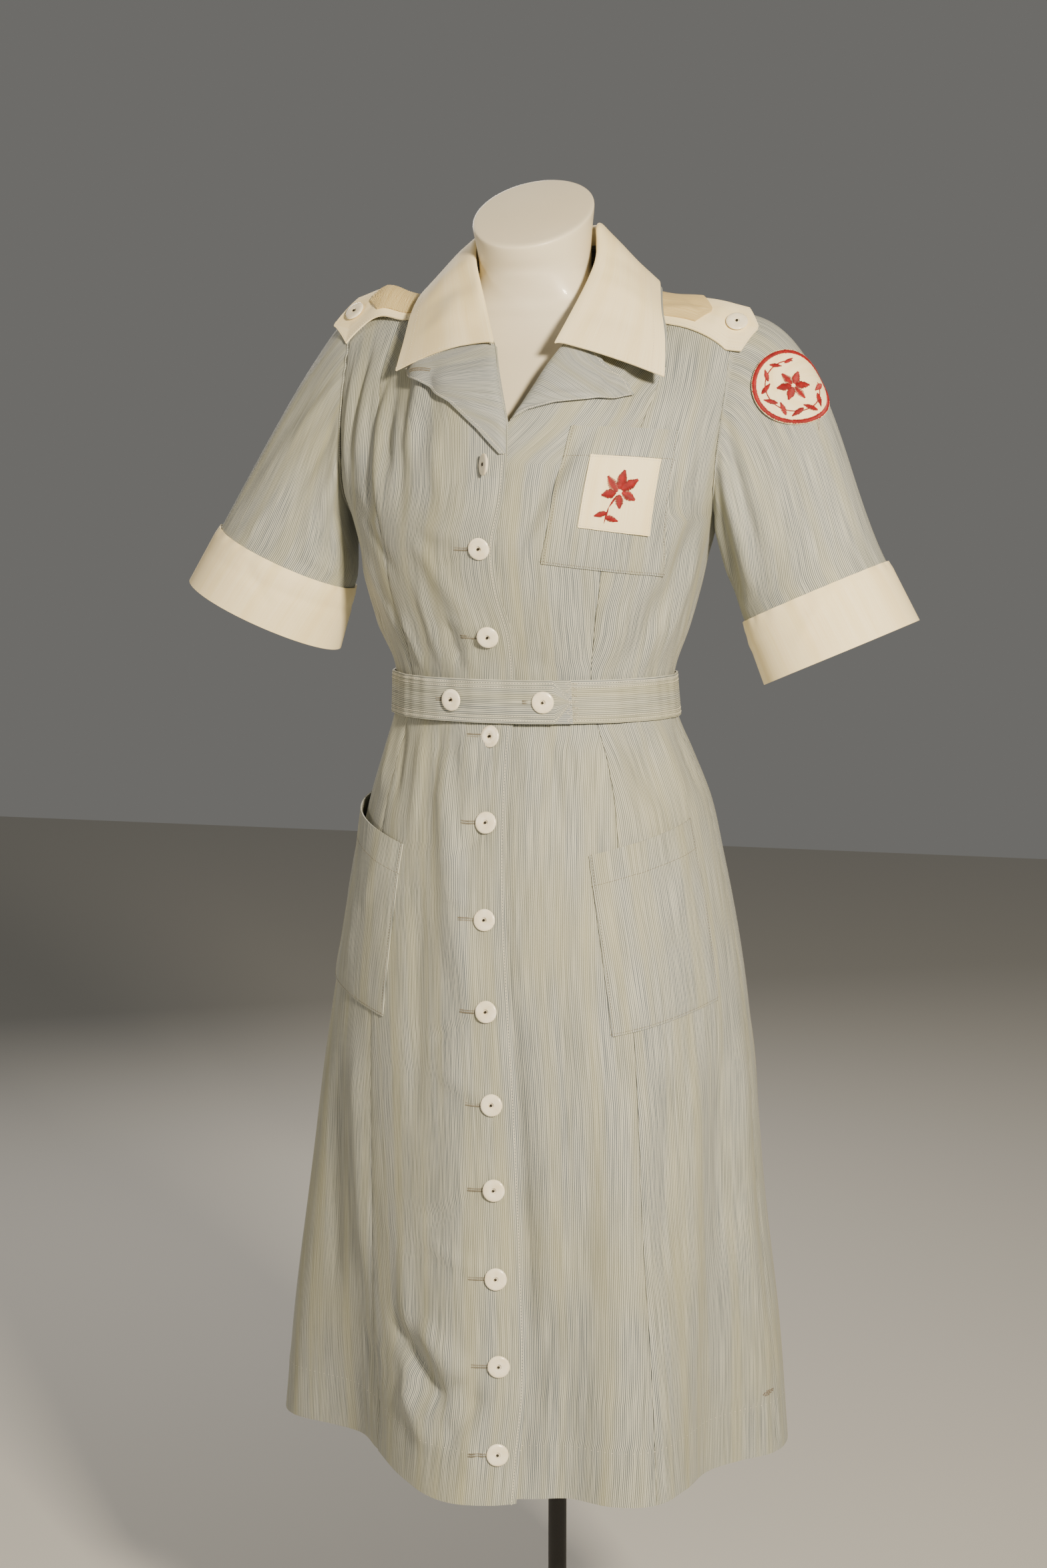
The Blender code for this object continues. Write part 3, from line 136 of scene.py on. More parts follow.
def mesh_object(name, vertices, faces, finish, smooth=35.0):
    """A piece of the dress or its stand, in place, riding on the one body."""
    mesh = bpy.data.meshes.new(name)
    mesh.from_pydata([tuple(v) for v in vertices], [], faces)
    mesh.materials.append(finish)
    mesh.shade_smooth()
    mesh.set_sharp_from_angle(angle=math.radians(smooth))
    made = bpy.data.objects.new(name, mesh)
    bpy.context.scene.collection.objects.link(made)
    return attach(made, "root")


def ring_solid(name, rings, finish):
    """A closed solid skinned over rings of points, flat at both ends."""
    sides = len(rings[0])
    vertices = np.concatenate(rings)
    faces = [list(reversed(range(sides)))]
    for ring in range(len(rings) - 1):
        low, high = ring * sides, (ring + 1) * sides
        for k in range(sides):
            after = (k + 1) % sides
            faces.append([low + k, low + after, high + after, high + k])
    faces.append([(len(rings) - 1) * sides + k for k in range(sides)])
    return mesh_object(name, vertices, faces, finish)


# Moulded plastic with a satin face: soft wide highlights, and a faint orange peel that only shows in
# them.
form_plastic, tree, shader = new_material("satin cream moulded plastic", Roughness=0.42, Coat_Weight=0.15)
place = put(tree, "ShaderNodeTexCoord").outputs["Object"]
cloud = put(tree, "ShaderNodeTexNoise", {"Vector": place, "Scale": 9.0, "Detail": 2.0}).outputs["Fac"]
tree.links.new(shade(tree, cloud, [(0.30, "#DDD3B8"), (0.70, "#E4DBC3")]), shader.inputs["Base Color"])
peel = put(tree, "ShaderNodeTexNoise", {"Vector": place, "Scale": 900.0, "Detail": 1.0}).outputs["Fac"]
bump = put(tree, "ShaderNodeBump", {"Height": peel, "Strength": 0.10, "Distance": 0.0004})
tree.links.new(bump.outputs["Normal"], shader.inputs["Normal"])

torso = [(k, *section, 0.0) for k, section in enumerate(FORM_SECTIONS)]
neck = [
    (len(torso) + k, z, across, deep, deep, NECK_CENTRE_X, y, slope)
    for k, (z, across, deep, y, slope) in enumerate(NECK)
]
form_at = curve_through(torso + neck)
angles = 2 * np.pi * np.arange(96) / 96
rings = []
for row in np.linspace(0, len(torso) + len(neck) - 1, 150):
    z, wide, front, back, x, y, slope = form_at(row)
    past = np.clip(row - len(torso) - len(neck) + 2, 0, 1)
    inset = 0.0028 * (1 - np.sqrt(1 - past ** 4))
    shift = -np.where(np.cos(angles) > 0, front - inset, back - inset) * np.cos(angles)
    height = z + shift * math.tan(math.radians(slope))
    rings.append(np.stack([x + (wide - inset) * np.sin(angles), y + shift, height], -1))
form = ring_solid("display_form", rings, form_plastic)
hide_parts("dress_form")

# Stand: a round steel plate with a turned boss, and a tube pole, both coated in black powder paint.
POLE_PLACE = (0.012, 0.036)
stand_paint, tree, shader = new_material("black powder coat on steel", Roughness=0.5, Metallic=0.0)
place = put(tree, "ShaderNodeTexCoord").outputs["Object"]
grain = put(tree, "ShaderNodeTexNoise", {"Vector": place, "Scale": 1600.0, "Detail": 2.0}).outputs["Fac"]
tree.links.new(shade(tree, grain, [(0.35, "#141313"), (0.75, "#242322")]), shader.inputs["Base Color"])
bump = put(tree, "ShaderNodeBump", {"Height": grain, "Strength": 0.25, "Distance": 0.0002})
tree.links.new(bump.outputs["Normal"], shader.inputs["Normal"])
PLATE = [
    # radius, height
    (0.187, 0.0000),
    (0.1895, 0.0012),
    (0.190, 0.0040),
    (0.189, 0.0080),
    (0.1865, 0.0093),
    (0.120, 0.0108),
    (0.050, 0.0120),
    (0.024, 0.0150),
    (0.0190, 0.0180),
    (0.0182, 0.0395),
    (0.0172, 0.0415),
]
TUBE = [(0.0085, 0.0425), (0.0085, 0.3000), (0.0085, 0.5500), (0.0085, 0.7590)]
for name, node, profile, sides in (
    ("stand_plate", "stand_base", PLATE, 128),
    ("stand_tube", "stand_pole", TUBE, 32),
):
    turn = 2 * np.pi * np.arange(sides) / sides
    rings = [
        np.stack([POLE_PLACE[0] + r * np.cos(turn), POLE_PLACE[1] + r * np.sin(turn), np.full(sides, z)], -1)
        for r, z in profile
    ]
    made = ring_solid(name, rings, stand_paint)
    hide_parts(node)

# Body: seven long princess panels of fine grey and white corded cotton, from shoulder to hem, sewn edge
# to edge and pressed open. The right front laps over the left. Each is a thin closed wall over one body
# surface.
CLOTH = 0.0011
SEAM_GAP = 0.0003  # half of the clear space left at a seam
HEM_Z = 0.343
HIP_Z = 0.90
WAIST_Z = 1.02
UNDERARM_Z = 1.172
HEM_FOLD_Z = 0.389  # where the hem's turned edge is caught down
SHOULDER_LEVEL = 1.37  # level that the shoulder seam stands for, whatever its real height
LAP_LIFT = 0.0027  # how far the right front rises to pass over the left front
LEFT, RIGHT = 1, -1  # the wearer's sides, as signs of X
# Body sections of the cloth. Above the underarm the level stands for a share of the way to the shoulder
# seam.
SECTIONS = [
    # level, half_width, front_depth, back_depth, middle_x
    (0.343, 0.2305, 0.1900, 0.1950, -0.002),
    (0.450, 0.2220, 0.1820, 0.1880, -0.001),
    (0.580, 0.2065, 0.1680, 0.1760, 0.000),
    (0.700, 0.1940, 0.1550, 0.1640, 0.003),
    (0.800, 0.1795, 0.1420, 0.1520, 0.005),
    (0.880, 0.1640, 0.1280, 0.1390, 0.005),
    (0.930, 0.1525, 0.1165, 0.1250, 0.005),
    (0.970, 0.1385, 0.1050, 0.1090, 0.003),
    (1.000, 0.1275, 0.0985, 0.0970, 0.001),
    (1.020, 0.1232, 0.0965, 0.0930, 0.000),
    (1.040, 0.1250, 0.0985, 0.0935, 0.000),
    (1.080, 0.1385, 0.1090, 0.0990, 0.000),
    (1.120, 0.1500, 0.1200, 0.1050, 0.000),
    (1.150, 0.1570, 0.1265, 0.1090, 0.000),
    (1.172, 0.1630, 0.1290, 0.1120, 0.000),
    (1.200, 0.1735, 0.1270, 0.1150, 0.000),
    (1.240, 0.1820, 0.1215, 0.1200, 0.000),
    (1.280, 0.1860, 0.1100, 0.1220, 0.000),
    (1.320, 0.1870, 0.0930, 0.1200, 0.000),
    (1.370, 0.1870, 0.0700, 0.1100, 0.000),
]
# The shoulder line, from the wearer's right to the left.
SHOULDER_RIDGE = [
    # x, z, y
    (-0.200, 1.3520, 0.030),
    (-0.178, 1.3590, 0.031),
    (-0.140, 1.3635, 0.032),
    (-0.100, 1.3665, 0.032),
    (-0.060, 1.3820, 0.026),
    (0.000, 1.3920, 0.020),
    (0.060, 1.3840, 0.026),
    (0.100, 1.3670, 0.032),
    (0.140, 1.3590, 0.032),
    (0.178, 1.3500, 0.031),
    (0.200, 1.3440, 0.030),
]
# Angles of the long seams, in degrees from the front. The dress hangs a little twisted on the form.
SEAMS = [
    # level, right_front, left_front, right_back, left_back
    (0.343, -33.0, 39.5, -141.0, 141.0),
    (0.574, -37.5, 39.0, -141.0, 141.0),
    (0.741, -43.0, 38.2, -141.0, 141.0),
    (0.892, -49.5, 37.2, -142.0, 142.0),
    (0.995, -51.5, 37.4, -143.0, 143.0),
    (1.040, -48.0, 35.6, -143.0, 143.0),
    (1.120, -46.0, 34.6, -141.0, 141.0),
    (1.250, -42.0, 38.6, -139.0, 139.0),
    (1.300, -42.0, 41.5, -139.0, 139.0),
    (1.370, -40.0, 40.0, -141.0, 141.0),
]
# The front closing: where the buttons sit, and how far the right front runs past them.
CLOSING = [
    # z, button_x, lap
    (0.343, 0.0205, 0.0160),
    (0.386, 0.0209, 0.0185),
    (0.462, 0.0205, 0.0225),
    (0.535, 0.0162, 0.0235),
    (0.610, 0.0125, 0.0225),
    (0.682, 0.0085, 0.0215),
    (0.760, 0.0010, 0.0220),
    (0.836, -0.0040, 0.0200),
    (0.917, -0.0075, 0.0185),
    (0.994, -0.0084, 0.0180),
    (1.040, -0.0090, 0.0215),
    (1.076, -0.0094, 0.0215),
    (1.115, -0.0110, 0.0150),
    (1.151, -0.0115, 0.0140),
    (1.190, -0.0075, 0.0180),
    (1.224, -0.0037, 0.0162),
]
UNDERLAP = 0.018
# Where each front is folded back to make its lapel, and so where its lying part ends above the closing.
ROLL_LINES = [
    # z, right_x, left_x
    (1.2240, 0.0125, -0.0217),
    (1.2400, 0.0120, -0.0040),
    (1.2560, 0.0106, 0.0111),
    (1.2720, 0.0060, 0.0210),
    (1.2960, -0.0017, 0.0335),
    (1.3200, -0.0090, 0.0465),
    (1.3560, -0.0400, 0.0575),
    (1.3920, -0.0720, 0.0720),
]
# The armhole edge, as angles from the front and from the back, by share of the way up to the shoulder.
ARMHOLE = [
    # share, front_angle, back_angle
    (0.00, 90.0, 90.0),
    (0.05, 81.5, 81.0),
    (0.12, 76.0, 74.5),
    (0.25, 71.5, 68.5),
    (0.45, 69.5, 66.0),
    (0.65, 70.0, 67.0),
    (0.80, 71.0, 69.0),
    (0.92, 72.0, 71.0),
    (1.00, 73.0, 73.0),
]
ARMHOLE_SHIFT = {RIGHT: 5.5, LEFT: 0.0}  # degrees that an armhole is set further in
# How far the hem stands out from its oval at each angle, and how far it is hitched up. Both fade to the
# hip.
HEM_WAVES = [
    # angle, out, up
    (-180.0, -0.006, 0.000),
    (-160.0, 0.010, 0.000),
    (-135.0, -0.012, 0.000),
    (-110.0, 0.004, 0.000),
    (-90.0, 0.008, 0.002),
    (-76.0, -0.006, 0.006),
    (-61.0, -0.038, 0.011),
    (-46.0, -0.050, 0.014),
    (-31.0, -0.034, 0.012),
    (-18.0, -0.012, 0.005),
    (-7.0, 0.007, 0.000),
    (4.0, 0.006, 0.000),
    (14.0, -0.010, 0.000),
    (22.0, -0.014, 0.000),
    (30.0, 0.008, 0.000),
    (39.0, 0.014, 0.000),
    (49.0, -0.004, 0.002),
    (61.0, -0.026, 0.003),
    (76.0, -0.024, 0.002),
    (90.0, -0.003, 0.000),
    (110.0, 0.004, 0.000),
    (135.0, -0.012, 0.000),
    (160.0, 0.010, 0.000),
    (180.0, -0.006, 0.000),
]
# The largest soft folds: each runs between two points and bends the cloth out or in.
FOLDS = [
    # angle_from, z_from, angle_to, z_to, out, half_width
    (-30.0, 1.330, -37.0, 1.200, -0.0045, 0.011),
    (-24.0, 1.330, -28.0, 1.215, 0.0035, 0.010),
    (-19.0, 1.310, -20.0, 1.230, -0.0035, 0.009),
    (-44.0, 1.335, -50.0, 1.205, 0.0035, 0.011),
    (38.0, 1.335, 33.0, 1.262, -0.0040, 0.011),
    (47.0, 1.330, 44.0, 1.260, 0.0030, 0.011),
    (22.0, 1.245, 8.0, 1.150, -0.0030, 0.010),
    (-30.0, 1.165, -2.0, 1.060, 0.0030, 0.011),
    (20.0, 1.125, 12.0, 1.050, 0.0025, 0.010),
    (60.0, 1.120, 52.0, 1.045, -0.0030, 0.010),
    (-24.0, 0.985, -8.0, 0.760, 0.0035, 0.012),
    (58.0, 0.990, 54.0, 0.925, -0.0040, 0.011),
]

# Smaller creases: gathers under the straps, pulls at the buttons and the belt, and soft
# wear folds in the skirt. Each is a trough or a ridge between two points of the body.
CREASES = [
    # angle_from, z_from, angle_to, z_to, out, half_width
    (-36.0, 1.345, -42.0, 1.255, -0.0035, 0.0063),
    (-33.0, 1.340, -33.0, 1.215, 0.0035, 0.0063),
    (-27.0, 1.330, -33.0, 1.170, -0.0032, 0.0053),
    (-50.0, 1.340, -56.0, 1.230, -0.0042, 0.0074),
    (-56.0, 1.330, -62.0, 1.190, 0.0032, 0.0074),
    (-21.0, 1.290, -15.0, 1.180, 0.0029, 0.0063),
    (-60.0, 1.205, -38.0, 1.120, -0.0026, 0.0063),
    (-66.0, 1.160, -46.0, 1.065, 0.0029, 0.0074),
    (-58.0, 1.130, -40.0, 1.045, -0.0029, 0.0063),
    (-30.0, 1.125, -26.0, 1.045, 0.0029, 0.0063),
    (-20.0, 1.100, -17.0, 1.042, -0.0026, 0.0053),
    (-13.0, 1.090, -11.0, 1.042, 0.0022, 0.0042),
    (-44.0, 1.095, -38.0, 1.042, 0.0029, 0.0053),
    (-73.0, 1.110, -66.0, 1.045, -0.0032, 0.0063),
    (-80.0, 1.150, -78.0, 1.048, 0.0032, 0.0084),
    (-6.0, 1.147, -24.0, 1.128, -0.0021, 0.0042),
    (-6.0, 1.156, -26.0, 1.168, 0.0019, 0.0053),
    (-6.0, 1.072, -22.0, 1.056, -0.0021, 0.0042),
    (-6.0, 1.080, -24.0, 1.094, 0.0019, 0.0053),
    (3.0, 1.215, -14.0, 1.188, 0.0026, 0.0063),
    (42.0, 1.338, 40.0, 1.268, 0.0035, 0.0053),
    (51.0, 1.335, 50.0, 1.230, -0.0038, 0.0074),
    (58.0, 1.322, 60.0, 1.190, 0.0035, 0.0084),
    (34.0, 1.325, 26.0, 1.262, 0.0032, 0.0063),
    (28.0, 1.262, 14.0, 1.190, -0.0029, 0.0063),
    (20.0, 1.215, 8.0, 1.125, 0.0029, 0.0063),
    (66.0, 1.205, 50.0, 1.098, 0.0032, 0.0084),
    (72.0, 1.180, 58.0, 1.060, -0.0038, 0.0074),
    (79.0, 1.165, 70.0, 1.050, 0.0035, 0.0074),
    (47.0, 1.108, 42.0, 1.043, 0.0029, 0.0053),
    (36.0, 1.110, 31.0, 1.043, -0.0029, 0.0053),
    (26.0, 1.100, 23.0, 1.043, 0.0026, 0.0053),
    (15.0, 1.085, 14.0, 1.042, -0.0022, 0.0042),
    (64.0, 1.090, 60.0, 1.042, 0.0026, 0.0053),
    (-64.0, 0.998, -58.0, 0.930, 0.0032, 0.0074),
    (-52.0, 0.998, -45.0, 0.925, -0.0029, 0.0063),
    (-38.0, 0.998, -33.0, 0.900, 0.0026, 0.0063),
    (-28.0, 0.999, -24.0, 0.935, -0.0022, 0.0053),
    (-16.0, 0.999, -10.0, 0.900, 0.0026, 0.0063),
    (-6.0, 0.999, -4.0, 0.955, -0.0019, 0.0042),
    (8.0, 0.999, 8.0, 0.930, 0.0022, 0.0053),
    (16.0, 0.999, 20.0, 0.900, -0.0026, 0.0063),
    (26.0, 0.999, 30.0, 0.925, 0.0026, 0.0063),
    (40.0, 0.999, 44.0, 0.900, 0.0029, 0.0063),
    (50.0, 0.999, 50.0, 0.940, -0.0026, 0.0053),
    (68.0, 0.999, 70.0, 0.925, 0.0032, 0.0074),
    (82.0, 0.999, 84.0, 0.930, -0.0032, 0.0074),
    (-3.0, 0.986, -20.0, 0.972, 0.0019, 0.0042),
    (-3.0, 0.912, -18.0, 0.884, -0.0024, 0.0053),
    (-3.0, 0.838, -16.0, 0.862, 0.0022, 0.0053),
    (-1.0, 0.756, -18.0, 0.728, -0.0026, 0.0063),
    (1.0, 0.684, -14.0, 0.706, 0.0022, 0.0063),
    (2.0, 0.610, -16.0, 0.570, -0.0029, 0.0074),
    (3.0, 0.540, -14.0, 0.558, 0.0022, 0.0063),
    (5.0, 0.462, -12.0, 0.420, -0.0029, 0.0084),
    (-28.0, 0.880, -20.0, 0.640, -0.0032, 0.0105),
    (-52.0, 0.730, -40.0, 0.480, 0.0045, 0.0147),
    (-62.0, 0.700, -58.0, 0.450, -0.0048, 0.0147),
    (-22.0, 0.560, -16.0, 0.380, 0.0035, 0.0105),
    (-40.0, 0.460, -30.0, 0.350, -0.0042, 0.0126),
    (-10.0, 0.480, 2.0, 0.360, 0.0029, 0.0095),
    (24.0, 0.860, 25.0, 0.560, 0.0035, 0.0115),
    (24.0, 0.730, 27.0, 0.480, -0.0035, 0.0115),
    (34.0, 0.700, 33.0, 0.420, 0.0032, 0.0126),
    (50.0, 0.720, 44.0, 0.520, -0.0038, 0.0126),
    (60.0, 0.745, 56.0, 0.430, 0.0042, 0.0147),
    (72.0, 0.735, 70.0, 0.500, -0.0045, 0.0137),
    (84.0, 0.760, 82.0, 0.450, 0.0042, 0.0147),
    (18.0, 0.520, 12.0, 0.390, -0.0029, 0.0105),
    (98.0, 1.150, 112.0, 1.060, -0.0038, 0.0084),
    (104.0, 1.210, 124.0, 1.110, 0.0035, 0.0105),
    (128.0, 1.120, 132.0, 1.045, 0.0029, 0.0063),
    (146.0, 1.130, 150.0, 1.045, -0.0029, 0.0063),
    (160.0, 1.115, 163.0, 1.045, 0.0032, 0.0074),
    (178.0, 1.125, 177.0, 1.045, -0.0029, 0.0074),
    (196.0, 1.120, 194.0, 1.045, 0.0032, 0.0074),
    (214.0, 1.135, 211.0, 1.045, -0.0029, 0.0074),
    (232.0, 1.120, 229.0, 1.045, 0.0029, 0.0063),
    (256.0, 1.200, 238.0, 1.100, 0.0035, 0.0105),
    (262.0, 1.150, 250.0, 1.055, -0.0038, 0.0084),
    (150.0, 1.330, 156.0, 1.200, 0.0035, 0.0126),
    (170.0, 1.300, 166.0, 1.170, -0.0026, 0.0105),
    (208.0, 1.330, 203.0, 1.200, 0.0035, 0.0126),
    (192.0, 1.290, 196.0, 1.180, -0.0026, 0.0105),
    (118.0, 0.998, 120.0, 0.900, 0.0029, 0.0063),
    (140.0, 0.998, 142.0, 0.880, -0.0029, 0.0074),
    (158.0, 0.998, 158.0, 0.910, 0.0032, 0.0063),
    (174.0, 0.998, 172.0, 0.870, -0.0029, 0.0074),
    (190.0, 0.998, 192.0, 0.905, 0.0029, 0.0063),
    (206.0, 0.998, 206.0, 0.885, -0.0032, 0.0074),
    (224.0, 0.998, 222.0, 0.900, 0.0029, 0.0063),
    (246.0, 0.998, 244.0, 0.890, -0.0029, 0.0074),
    (112.0, 0.780, 116.0, 0.480, 0.0042, 0.0147),
    (130.0, 0.720, 126.0, 0.430, -0.0042, 0.0147),
    (152.0, 0.800, 150.0, 0.500, 0.0038, 0.0137),
    (168.0, 0.700, 172.0, 0.400, -0.0042, 0.0147),
    (186.0, 0.820, 184.0, 0.520, 0.0035, 0.0137),
    (204.0, 0.690, 200.0, 0.400, -0.0042, 0.0147),
    (222.0, 0.790, 226.0, 0.500, 0.0042, 0.0147),
    (244.0, 0.720, 240.0, 0.440, -0.0038, 0.0137),
    (-26.0, 0.484, -3.5, 0.420, -0.0085, 0.0120),
    (-16.0, 0.490, 1.0, 0.446, 0.0060, 0.0110),
    (3.0, 0.445, -6.0, 0.386, -0.0075, 0.0110),
    (-20.0, 0.432, -9.0, 0.380, 0.0050, 0.0110),
    (-31.0, 1.000, -10.0, 0.840, 0.0032, 0.0100),
    (-11.0, 0.860, -5.0, 0.740, 0.0030, 0.0090),
    (-45.0, 1.310, -50.0, 1.160, -0.0042, 0.0090),
    (-38.0, 1.320, -44.0, 1.170, 0.0036, 0.0080),
    (44.7, 1.340, 43.5, 1.262, -0.0036, 0.0080),
]

section_at = curve_through(SECTIONS)
ridge_at = curve_through(SHOULDER_RIDGE)
seam_at = curve_through(SEAMS)
closing_at = curve_through(CLOSING)
roll_at = curve_through(ROLL_LINES)
armhole_at = curve_through(ARMHOLE)
hem_wave_at = curve_through(HEM_WAVES)


def ease(x):
    """0 below 0, 1 above 1, and smooth between."""
    x = np.clip(x, 0.0, 1.0)
    return x * x * (3 - 2 * x)


def share_of(level):
    """How far a level is on the way from the underarm to the shoulder seam."""
    return np.clip((level - UNDERARM_Z) / (SHOULDER_LEVEL - UNDERARM_Z), 0.0, 1.0)


def round_power(x):
    """How round the shoulder is from front to back: full near the neck, sloping at the arm."""
    return 4.0 - 2.1 * ease((np.abs(x) - 0.05) / 0.07)


def crease_out(angle, z, half_width):
    """How far the small creases move the cloth out."""
    out = np.zeros_like(z)
    for angle_from, z_from, angle_to, z_to, rise, width in CREASES:
        middle = (angle_from + angle_to) / 2
        turned = (angle - middle + 180.0) % 360.0 - 180.0 + middle
        start = np.array([math.radians(angle_from) * section_at(z_from)[0], z_from])
        line = np.array([math.radians(angle_to) * section_at(z_to)[0], z_to]) - start
        length = math.hypot(*line)
        over, up = np.radians(turned) * half_width - start[0], z - start[1]
        along = (over * line[0] + up * line[1]) / length**2
        off = (over * line[1] - up * line[0]) / length
        ends = ease((along + 0.04) / 0.35) * ease((1.04 - along) / 0.35)
        out = out + rise * np.exp(-((off / width) ** 2)) * ends
    return out


def fold_out(angle, z, half_width):
    """How far the folds and creases move the cloth out, and up, at an angle in degrees and a height."""
    fade = np.clip((HIP_Z - z) / (HIP_Z - HEM_Z), 0.0, 1.0) ** 1.5
    turned = (angle + 180.0) % 360.0 - 180.0
    out, up = np.moveaxis(hem_wave_at(turned) * fade[..., None], -1, 0)
    for angle_from, z_from, angle_to, z_to, rise, width in FOLDS:
        along = (z_from - z) / (z_from - z_to)
        middle = angle_from + (angle_to - angle_from) * along
        across = np.radians(turned - middle) * half_width / width
        ends = ease(along / 0.25) * ease((1 - along) / 0.25)
        out = out + rise * np.exp(-across * across) * ends
    near = np.exp(-(((z - HEM_FOLD_Z) / 0.006) ** 2))
    pucker = 0.0006 * np.sin(turned * 0.9) * np.sin(turned * 2.3 + 1.0) * near
    return out + crease_out(angle, z, half_width) + pucker, up


def body(angle, level):
    """Points of the cloth's middle surface, for angles in degrees from the front and for levels."""
    angle, level = np.broadcast_arrays(np.asarray(angle, float), np.asarray(level, float))
    half_width, front, back, middle_x = np.moveaxis(section_at(level), -1, 0)
    sine, cosine = np.sin(np.radians(angle)), np.cos(np.radians(angle))
    at_front = cosine > 0
    x = middle_x + half_width * sine
    y = -np.where(at_front, front, back) * cosine
    share = share_of(level)
    ridge_z, ridge_y = np.moveaxis(ridge_at(x), -1, 0)
    z = np.where(share > 0, UNDERARM_Z + share * (ridge_z - UNDERARM_Z), level)
    rounding = np.sqrt(np.clip(1 - share ** round_power(x), 0.0, 1.0))
    out, up = fold_out(angle, z, half_width)
    out = out * rounding
    x = x + out * sine
    y = y - out * cosine
    apart = np.where(at_front, -1.0, 1.0) * (SEAM_GAP + 0.0002) * share
    y = np.where(share > 0, ridge_y + (y - ridge_y) * rounding + apart, y)
    return np.stack([x, y, z + up], -1)


def body_normal(angle, level):
    """Outward directions of the cloth's surface."""
    step_angle, step_level = 0.05, 0.0002
    level = np.minimum(np.asarray(level, float), SHOULDER_LEVEL - step_level)
    around = body(np.asarray(angle) + step_angle, level) - body(np.asarray(angle) - step_angle, level)
    up = body(angle, level + step_level) - body(angle, level - step_level)
    normal = np.cross(around, up)
    return normal / np.linalg.norm(normal, axis=-1, keepdims=True)


def lifted(angle, level, lift):
    """Points of the body surface, moved out by a lift."""
    lift = np.broadcast_to(lift, np.broadcast(angle, level).shape)
    return body(angle, level) + body_normal(angle, level) * lift[..., None]


def level_at(x, z):
    """The level of a point on the surface, from its real height."""
    ridge_z = ridge_at(x)[..., 0]
    share = (z - UNDERARM_Z) / (ridge_z - UNDERARM_Z)
    return np.where(z > UNDERARM_Z, UNDERARM_Z + share * (SHOULDER_LEVEL - UNDERARM_Z), z)


def front_angle(x, level):
    """The angle from the front at which the surface has this X."""
    half_width, _, _, middle_x = np.moveaxis(section_at(level), -1, 0)
    return np.degrees(np.arcsin(np.clip((x - middle_x) / half_width, -1.0, 1.0)))


def front_place(x, z, lift):
    """The point of the front surface at X and Z, moved out by a lift."""
    level = level_at(np.asarray(x, float), np.asarray(z, float))
    return lifted(front_angle(np.asarray(x, float), level), level, lift)


def grid_normals(points, closed):
    """Directions square to a grid of points, from its neighbours."""
    if closed:
        across = np.roll(points, -1, 0) - np.roll(points, 1, 0)
    else:
        across = np.gradient(points, axis=0)
    along = np.gradient(points, axis=1)
    normal = np.cross(across, along)
    return normal / np.maximum(np.linalg.norm(normal, axis=-1, keepdims=True), 1e-9)


def spacing(points, axis, closed=False):
    """Running length along one axis of a grid, from its first row."""
    ring = np.concatenate([points, points[:1]]) if closed else points
    steps = np.linalg.norm(np.diff(ring, axis=axis), axis=-1)
    start = np.zeros_like(np.take(steps, [0], axis=axis))
    return np.concatenate([start, np.cumsum(steps, axis=axis)], axis=axis)


